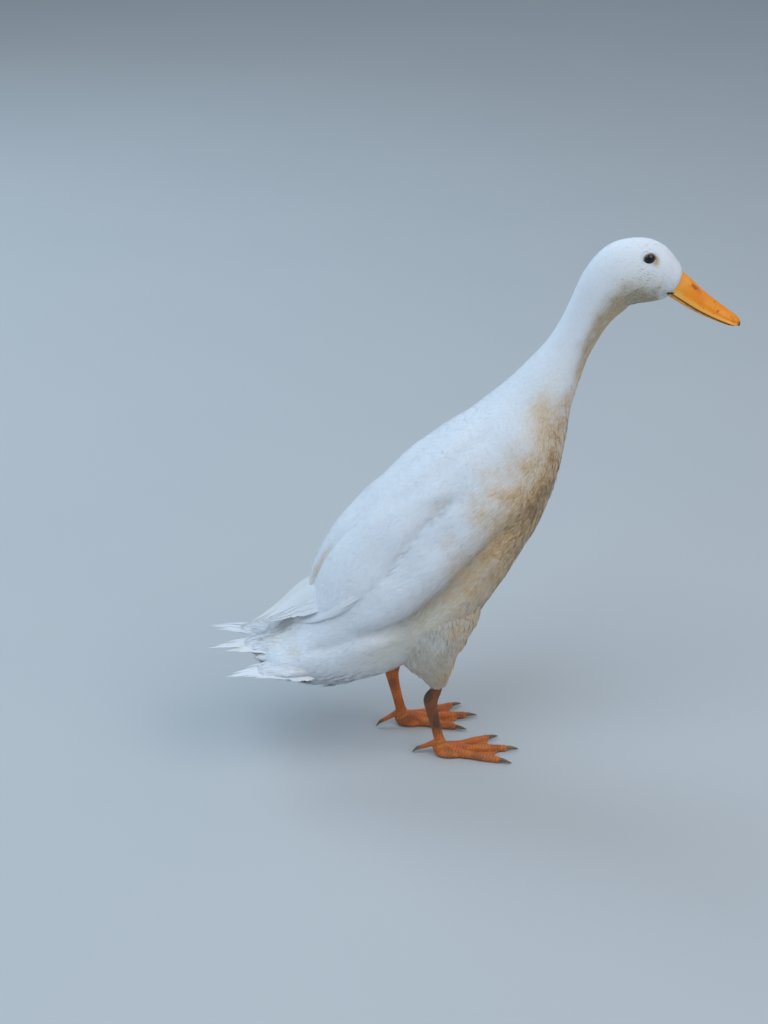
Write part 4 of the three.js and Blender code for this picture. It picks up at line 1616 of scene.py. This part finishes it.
def body_heading(place, turn, seed):
    """The lie of the body's plumes: down the neck and back along the body, with a slow waver."""
    rng = np.random.default_rng(seed)
    spot = section(BODY, BODY_ENDS, place, turn)
    rise = rise_of(turn)
    down = -4 + 10 * bell(place - 6, 3) * bell(rise + 5, 30)
    down = down - 10 * bell(place - 3.4, 2) * bell(rise - 55, 25)
    down = down - 16 * bell(rise + 26, 30) * bell(place - 8.4, 2.8)
    down = down + 7 * ripple(spot, 26, 41) + rng.normal(0, 4, len(place))
    return -np.radians(down) * own_side(turn)


def body_stand(place, turn):
    """What the tips stand out more than the coat's table says: fluff under the tail and belly, a
    hairy breast."""
    rise = rise_of(turn)
    fluff = 1.8 * ease(0, -50, rise) * ease(4.5, 1.5, place)
    belly = 0.4 * ease(-20, -70, rise) * ease(9, 5, place)
    breast = 0.45 * ease(0, -50, rise) * bell(place - 9.5, 2.6)
    return fluff + belly + breast


def body_coat(sheet, coat):
    """Adds the plumes of head, neck and body to the coat, by region and side."""
    spacing = lambda place, turn: table_at(COAT, place)[0]
    ends = [start for start, _ in BARBS[1:]] + [BODY_LAST - 0.25]
    for number, ((start, barbs), end) in enumerate(zip(BARBS, ends)):

        def kept(place, turn):
            share, _ = wing_share(place, turn)
            quills = ease(0.0, 0.15, share) * ease(4.2, 3.2, place) * ease(1.2, 1.8, place)
            return (1 - 0.8 * quills) * ((place >= start) & (place < end))

        seed = 100 + number
        place, turn = sheet.sow(spacing, kept, seed)
        rng = np.random.default_rng(seed)
        count = len(place)
        _, length, breadth, stand = table_at(COAT, place)
        vary = rng.uniform(0.85, 1.15, count)
        sink = coat_depth(place) * np.interp(place, [9, 13], [0.85, 0.65])
        stand = stand + body_stand(place, turn) * 3 * rng.uniform(0, 1, count) ** 3
        size = (length * vary, breadth * vary, sink, stand, rng.normal(0, 0.05, count))
        heading = body_heading(place, turn, seed)
        for region, (low, high) in REGIONS.items():
            for side_name, side in SIDES.items():
                mine = (place >= low) & (place < high) & (np.cos(turn) * side >= 0)
                if not mine.any():
                    continue
                roots = [v[mine] for v in (place, turn, heading)]
                own_size = [v[mine] for v in size]
                made = plumes(sheet, *roots, own_size, barbs, seed=seed + side)
                if region == "head":
                    made = picked(made, clear_of_face(made[0]))
                coat.setdefault(f"plumage_{region}_{side_name}", []).append(made)


def thigh_coat(coat):
    """Adds soft plumes that flow down the thighs, where these stand clear of the body. Places
    count up from the hock."""
    last = len(THIGH) - 1
    for index, (side_name, side) in enumerate(SIDES.items()):
        outer = thigh(side)
        upwards = lambda place, turn: outer(last - place, -turn)
        marker = lambda place, turn, points: thigh_markings(points)
        sheet = Sheet(upwards, last, marker, (0.82, 0.02 + 0.33 * index, 0.16, 0.29))
        spacing = lambda place, turn: 2.4 + 0.25 * place
        kept = lambda place, turn: (place > 0.3) & (place < 5.0)
        place, turn = sheet.sow(spacing, kept, 7)
        rng = np.random.default_rng(300 + index)
        count = len(place)
        length = (7 + 2.4 * place) * rng.uniform(0.8, 1.2, count)
        stand = 0.15 + 1.2 * rng.uniform(0, 1, count) ** 3
        size = (length, length * 0.42, np.full(count, 1.3), stand, rng.normal(0, 0.06, count))
        heading = rng.normal(0, 0.09, count)
        made = plumes(sheet, place, turn, heading, size, barbs=5, seed=310 + index)
        outside = within(BODY, BODY_ENDS, made[0][:, 7], -1.0) > 1
        coat[f"plumage_thigh_{side_name}"] = [picked(made, outside)]


def flank_plumes(sheet, coat):
    """Adds the long soft plumes of the flanks, which lap over the front of the wings."""
    low, high = 4.6, 9.4

    def kept(place, turn):
        rise, edge = rise_of(turn), table_at(WING, place)[0]
        band = ease(edge + 4, edge - 2, rise) * ease(-24, -12, rise)
        return band * (place > low) * (place < high)

    place, turn = sheet.sow(lambda place, turn: 5.2, kept, 11)
    rng = np.random.default_rng(500)
    count = len(place)
    ones = np.ones(count)
    length = np.interp(place, [low, 6, high], [24, 38, 24]) * rng.uniform(0.85, 1.15, count)
    heading = -np.radians(-9 + rng.normal(0, 4, count)) * own_side(turn)
    size = (length, 11 * ones, 2.4 * ones, 0.3 * ones, rng.normal(0, 0.03, count))
    for side_name, side in SIDES.items():
        mine = np.cos(turn) * side > 0
        roots = [v[mine] for v in (place, turn, heading)]
        own_size = [v[mine] for v in size]
        made = plumes(sheet, *roots, own_size, barbs=9, seed=510 + side)
        coat[f"plumage_flank_{side_name}"] = [made]


def make_coat():
    """The whole coat: one piece for each region and side."""
    sheet = Sheet(body, BODY_LAST, markings, BODY_ISLAND)
    coat = {}
    body_coat(sheet, coat)
    thigh_coat(coat)
    flank_plumes(sheet, coat)
    for name, made in coat.items():
        plume_piece(name, merged(made))


make_coat()

# ---- Quills of the wings and tail ----------------------------------------------------------


def vane(rows, seed, island, marker, curve, pointed, frayed):
    """One quill feather: a thin closed blade along rows of its middle line, the direction across
    it, the direction up from it and its half width. It curves down at the sides, has a ridge along
    the quill, slits in its edges and a tip that is pointed more or less."""
    rng = np.random.default_rng(seed)
    rows = np.asarray(rows, float)
    last = len(rows) - 1
    slits = rng.uniform(0.35, 0.95, 7)
    sides = rng.choice([-1, 1], 7)
    depths = rng.uniform(0.0, 0.28, 7)
    own = rng.uniform(0.2, 0.8)

    def width(share, side):
        shape = ease(-0.25, 0.22, share) * np.maximum(1 - ease(pointed, 1.0, share), 0.0) ** 0.75
        for at, of, depth in zip(slits, sides, depths):
            behind = (share - at) / 0.03
            cut = np.where(behind > 0, np.exp(-behind * 0.35), np.exp(behind * 3))
            shape = shape * (1 - depth * cut * (side * of > 0))
        return shape * (1 + frayed * np.sin(share * 170 + 3 * side + seed))

    def blade(place, turn):
        share = place / last
        row = rows_at(rows, place)
        w = np.cos(turn) * width(share, np.cos(turn)) * row[..., 9]
        upper = np.sin(turn) >= -1e-9
        ridge = 0.30 * bell(w, 0.9) * (1 - share)
        high = np.where(upper, 0.10 + ridge, -0.10) - w**2 / (2 * curve)
        high = high + 0.10 * np.sin(w * 2.1 + share * 30 + seed) * np.abs(np.sin(turn))
        return row[..., :3] + row[..., 3:6] * w[..., None] + row[..., 6:9] * high[..., None]

    points, faces, places, turns = closed(blade, last, 24, 44)
    share = places / last
    w = np.cos(turns) * rows_at(rows, places)[:, 9]
    length = np.linalg.norm(np.diff(rows[:, :3], axis=0), axis=1).sum()
    along, off = share * length, np.abs(w)
    slant = np.radians(32)
    lie = np.stack([along * np.sin(slant) - off * np.cos(slant), along * np.cos(slant)], -1) * MM
    marks = marker(points, share)
    marks[:, 3] = 0.3 * marks[:, 3] + own * 0.7
    patch = np.stack([(1 - np.cos(turns)) / 2, share], -1) * PATCH
    return points, faces, marks, lie, np.asarray(island) + patch


def vane_piece(name, vanes):
    """One object from many vanes."""
    points, faces = joined([made[:2] for made in vanes])
    marks, lie, bake = (np.concatenate([made[k] for made in vanes]) for k in (2, 3, 4))
    return piece(name, points, faces, PLUMAGE, "plumage", marks, {"OFBake": bake, "Lie": lie})


# The wing's lower edge: place, rise.
WING_EDGE = [
    [1.0, 104],
    [1.4, 96],
    [1.7, 85],
    [2.0, 75],
    [2.3, 66],
    [2.6, 58],
    [2.95, 51],
    [3.35, 45],
    [3.75, 40],
    [4.2, 36.5],
    [4.65, 35],
    [5.25, 35.5],
    [5.7, 37],
    [6.5, 42],
    [7.6, 52],
]
# The wing's quills from the lowest to the highest: root and tip place, and how many degrees the
# root lies above the wing's edge.
QUILLS = [
    [7.6, 4.3, 3],
    [7.4, 3.8, 7],
    [7.2, 3.35, 11],
    [7.0, 2.95, 15],
    [6.9, 2.6, 19],
    [6.8, 2.3, 23],
    [6.7, 2.0, 27],
    [6.6, 1.7, 31],
    [6.4, 1.4, 34],
]
# A quill's half width, how far its root is sunk and its tip is raised again, in millimetres.
QUILL_HALF, QUILL_SUNK, QUILL_RAISED = 10.0, 3.4, 3.0
# How many degrees lower the upper quills of the left wing lie, under those of the right one.
UNDER_RIGHT = 22
# The primaries' tips lie on the rump, the left wing's over to the left: x, y, z along the middle.
PRIMARIES = {
    "left": [
        [-110, 17, 169],
        [-125, 14, 156],
        [-142, 12, 141],
        [-157, 11, 126],
        [-171, 9, 118],
        [-183, 6, 114],
    ],
    "right": [
        [-106, -40, 167],
        [-118, -33, 159],
        [-132, -21, 149],
        [-145, -11, 138],
        [-158, -7, 129],
        [-173, -5, 121],
    ],
}
# Along a primary: its share of the fan, how far it is sunk, and its half width.
PRIMARY_ROWS = [
    [0.35, 10, 1.5],
    [0.7, 5.5, 4.0],
    [0.9, 1.8, 6.4],
    [0.7, 0.3, 7.0],
    [0.4, 0, 7.0],
    [0.1, 0, 6.0],
]
# The bed of down under the primaries: x, y, z, half breadth and half depth.
WING_BED = [
    [-104, 0, 154, 26, 17],
    [-120, 0, 142, 24, 13],
    [-134, 2, 127, 17, 9],
    [-147, 4, 115, 10, 6],
    [-159, 5, 107, 6, 4],
    [-168, 5, 102, 4, 3],
]


def wing_vane(sheet, side, index, quill):
    """A quill laid on the wing's plane, each a little over the one below it. It comes down to
    the wing's edge and runs along that to its tip."""
    start, end, above = quill
    share = np.linspace(0, 1, 12)
    place = start + (end - start) * share
    rise = table_at(WING_EDGE, place)[0] + 1.5 + above * (1 - share) ** 1.4
    if side > 0:
        rise = rise - UNDER_RIGHT * share * index / len(QUILLS)
    turn = turn_of(rise, side)
    points, normals, _, _, _ = sheet.read(place, turn)
    raised = (QUILL_RAISED + 0.08 * index) * ease(0.45, 0.9, share) * ease(5.6, 4.2, place)
    lift = -QUILL_SUNK + raised - 3.0 * ease(4.8, 5.8, place)
    points = points + normals * lift[:, None]
    ahead = unit(np.gradient(points, axis=0))
    across = unit(np.cross(normals, ahead)) * side
    half = np.full((12, 1), QUILL_HALF + 0.15 * index)
    rows = np.concatenate([points, across, normals, half], 1)
    darkening = 0.22 * ease(7, 8, index)

    def marker(found, share):
        mud_and_shade = darkening * (0.5 + 0.4 * ripple(found, 20, 61)) * ease(0.5, 0.9, share)
        return marks_of(mud_and_shade, 0, 0.06 + 0.03 * ripple(found, 12, 62), 0.5)

    island = sheet.spot(place[0], turn[0])
    return vane(rows, 700 + index, island, marker, curve=58, pointed=0.45, frayed=0)


def primary_vane(side_name, index):
    """One of the long quills whose tips lie on the rump, side by side in a narrow fan."""
    side = SIDES[side_name]
    spine = np.array(PRIMARIES[side_name], float)
    ahead = unit(np.gradient(spine, axis=0))
    normal = unit(np.array([-0.60, 0.06 if side > 0 else -0.42, 0.75]) + 0 * spine)
    across = unit(np.cross(normal, ahead)) * side
    over = unit(np.cross(ahead, across))
    over = over * np.sign(over[:, 2:3])
    fan, sunk, half = np.array(PRIMARY_ROWS).T[..., None]
    spine = spine + across * (1.5 - index) * 5.0 * fan * side + over * (0.5 * index - sunk)
    rows = np.concatenate([spine, across, over, half], 1)
    mud_and_shade = 0.10 if side > 0 else 0.02
    marker = lambda found, share: marks_of(mud_and_shade + 0 * share, 0.05, 0.06, 0.5)
    island = (0.2 + 0.02 * index, 0.08)
    return vane(rows, 760 + index, island, marker, curve=40, pointed=0.5, frayed=0.02)


def make_wings():
    """Both folded wings, each in place of its two solids."""
    sheet = Sheet(wing_plane, BODY_LAST, markings, BODY_ISLAND)
    for name, side in SIDES.items():
        vanes = [primary_vane(name, index) for index in range(4)]
        vanes += [wing_vane(sheet, side, index, quill) for index, quill in enumerate(QUILLS)]
        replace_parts(vane_piece(f"wing_quills_{name}", vanes), f"wing_{name}", f"primaries_{name}")


def tail_markings(points, share, yellow):
    """Yellow at a sheaf's root, a little mud between the feathers and dust towards the tip."""
    mud_and_shade = 0.16 * ease(0.2, 1.2, ripple(points, 11, 71)) + 0.10 * ease(0.35, 0.1, share)
    cream = yellow * ease(0.6, 0.2, share) * (0.7 + 0.4 * ripple(points, 9, 72))
    return marks_of(mud_and_shade, cream, 0.05 + 0.05 * share, 0.5)


def tail_frame(root, tip):
    """A sheaf's root and tip, and its directions ahead, across and up."""
    root, tip = np.array(root, float), np.array(tip, float)
    ahead = unit(tip - root)
    across = unit(np.cross([0, 0, 1.0], ahead))
    return root, tip, ahead, across, np.cross(ahead, across)


def tail_vane(root, tip, half, spread, seed, island, yellow):
    """One pointed quill of a sheaf. Spread runs from -1 to 1 across it."""
    rng = np.random.default_rng(seed)
    root, tip, ahead, across, up = tail_frame(root, tip)
    start = root + across * half * 0.5 * spread - up * 2.5 - ahead * 13
    shorter = 30 * np.abs(spread) ** 1.3 + rng.uniform(0, 3)
    end = tip - ahead * shorter + across * half * (0.55 * spread + rng.normal(0, 0.05))
    end = end + up * (1.6 * (1 - np.abs(spread)) + rng.normal(0, 0.4))
    share = np.linspace(0, 1, 7)[:, None]
    bow = np.sin(np.pi * share)
    spine = start + (end - start) * share + up * bow * 1.6 + across * bow * half * 0.16 * spread
    roll = 0.35 * spread
    aside = across * np.cos(roll) - up * np.sin(roll)
    over = up * np.cos(roll) + across * np.sin(roll)
    width = half * 0.40 * ease(-0.12, 0.3, share)
    rows = np.column_stack([spine, aside + 0 * spine, over + 0 * spine, width])
    marker = lambda points, share: tail_markings(points, share, yellow)
    return vane(rows, seed, island, marker, curve=26, pointed=0.38, frayed=0.05)


def sheaf_rows(root, tip, half, depth):
    """The cone of coverts round a sheaf's root: x, y, z, half breadth and half depth."""
    root, tip, _, _, up = tail_frame(root, tip)
    share = np.linspace(0, 1, 7)
    spine = root + (tip - root) * (share * 0.92 - 0.32)[:, None]
    spine = spine + up * np.sin(np.pi * share)[:, None]
    wide = half * np.interp(share, [0, 0.4, 0.7, 1], [0.5, 0.9, 0.8, 0.25])
    deep = depth * np.interp(share, [0, 0.35, 0.65, 1], [0.4, 0.58, 0.30, 0.08])
    return np.column_stack([spine, wide, deep])


def coverts(rows, yellow, island, seed):
    """Plumes that run out along a form from the rump to its tip, over a bed of down. Returns the
    plumes and the bed: points, faces, markings and lie."""
    last = len(rows) - 1
    surface = lambda place, turn: path_form(rows, (0.1, 0.06), last - place, turn, True)
    bed = lambda place, turn: path_form(rows, (0.1, 0.06), place, turn, True, -1.4)
    marker = lambda place, turn, points: tail_markings(points, 1 - place / last, yellow)
    sheet = Sheet(surface, last, marker, island)
    kept = lambda place, turn: (place > 0.15 * last) * 1.0
    place, turn = sheet.sow(lambda place, turn: 3.0, kept, seed)
    rng = np.random.default_rng(seed)
    count = len(place)
    length = rng.uniform(15, 26, count)
    ones = np.ones(count)
    stand = 0.15 + 0.9 * rng.uniform(0, 1, count) ** 3
    size = (length, 6.5 * ones, 1.6 * ones, stand, rng.normal(0, 0.04, count))
    heading = rng.normal(0, 0.09, count)
    made = plumes(sheet, place, turn, heading, size, barbs=7, seed=seed)
    clear = within(BODY, BODY_ENDS, made[0][:, 7], -0.5) > 1
    points, faces, places, turns = closed(bed, last, 48, 60)
    marks = tail_markings(points, places / last, yellow)
    lie = np.stack([turns * 0.012, places * 0.011], -1)
    return picked(made, clear), (points, faces, marks, lie)


def make_tail():
    """The three sheaves of the tail, each in place of its solid, and the coverts on their roots,
    under the tail and under the wings' tips."""
    forms = []
    for index, (name, (root, tip, half, count, yellow)) in enumerate(TAIL.items()):
        spreads = sorted(np.linspace(-1, 1, count), key=abs, reverse=True)
        island, seed = (0.84 + 0.02 * index, 0.70), 800 + 20 * index
        vanes = [
            tail_vane(root, tip, half, spread, seed + k, island, yellow)
            for k, spread in enumerate(spreads)
        ]
        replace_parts(vane_piece(f"tail_quills_{name}", vanes), f"tail_feathers_{name}")
        forms.append((sheaf_rows(root, tip, half, 17), yellow))
    forms.extend((sheaf_rows(*form[:4]), form[4]) for form in UNDER_TAIL)
    forms.append((np.array(WING_BED, float), 0.0))
    made = [
        coverts(rows, yellow, (0.82, 0.71 + 0.04 * index, 0.14, 0.035), 860 + index)
        for index, (rows, yellow) in enumerate(forms)
    ]
    plume_piece("tail_coverts", merged(plumage for plumage, _ in made))
    beds = [bed for _, bed in made]
    points, faces = joined([bed[:2] for bed in beds])
    marks, lie = (np.concatenate([bed[k] for bed in beds]) for k in (2, 3))
    piece("tail_down", points, faces, PLUMAGE, "plumage", marks, {"Lie": lie})


make_wings()
make_tail()
make_creases()
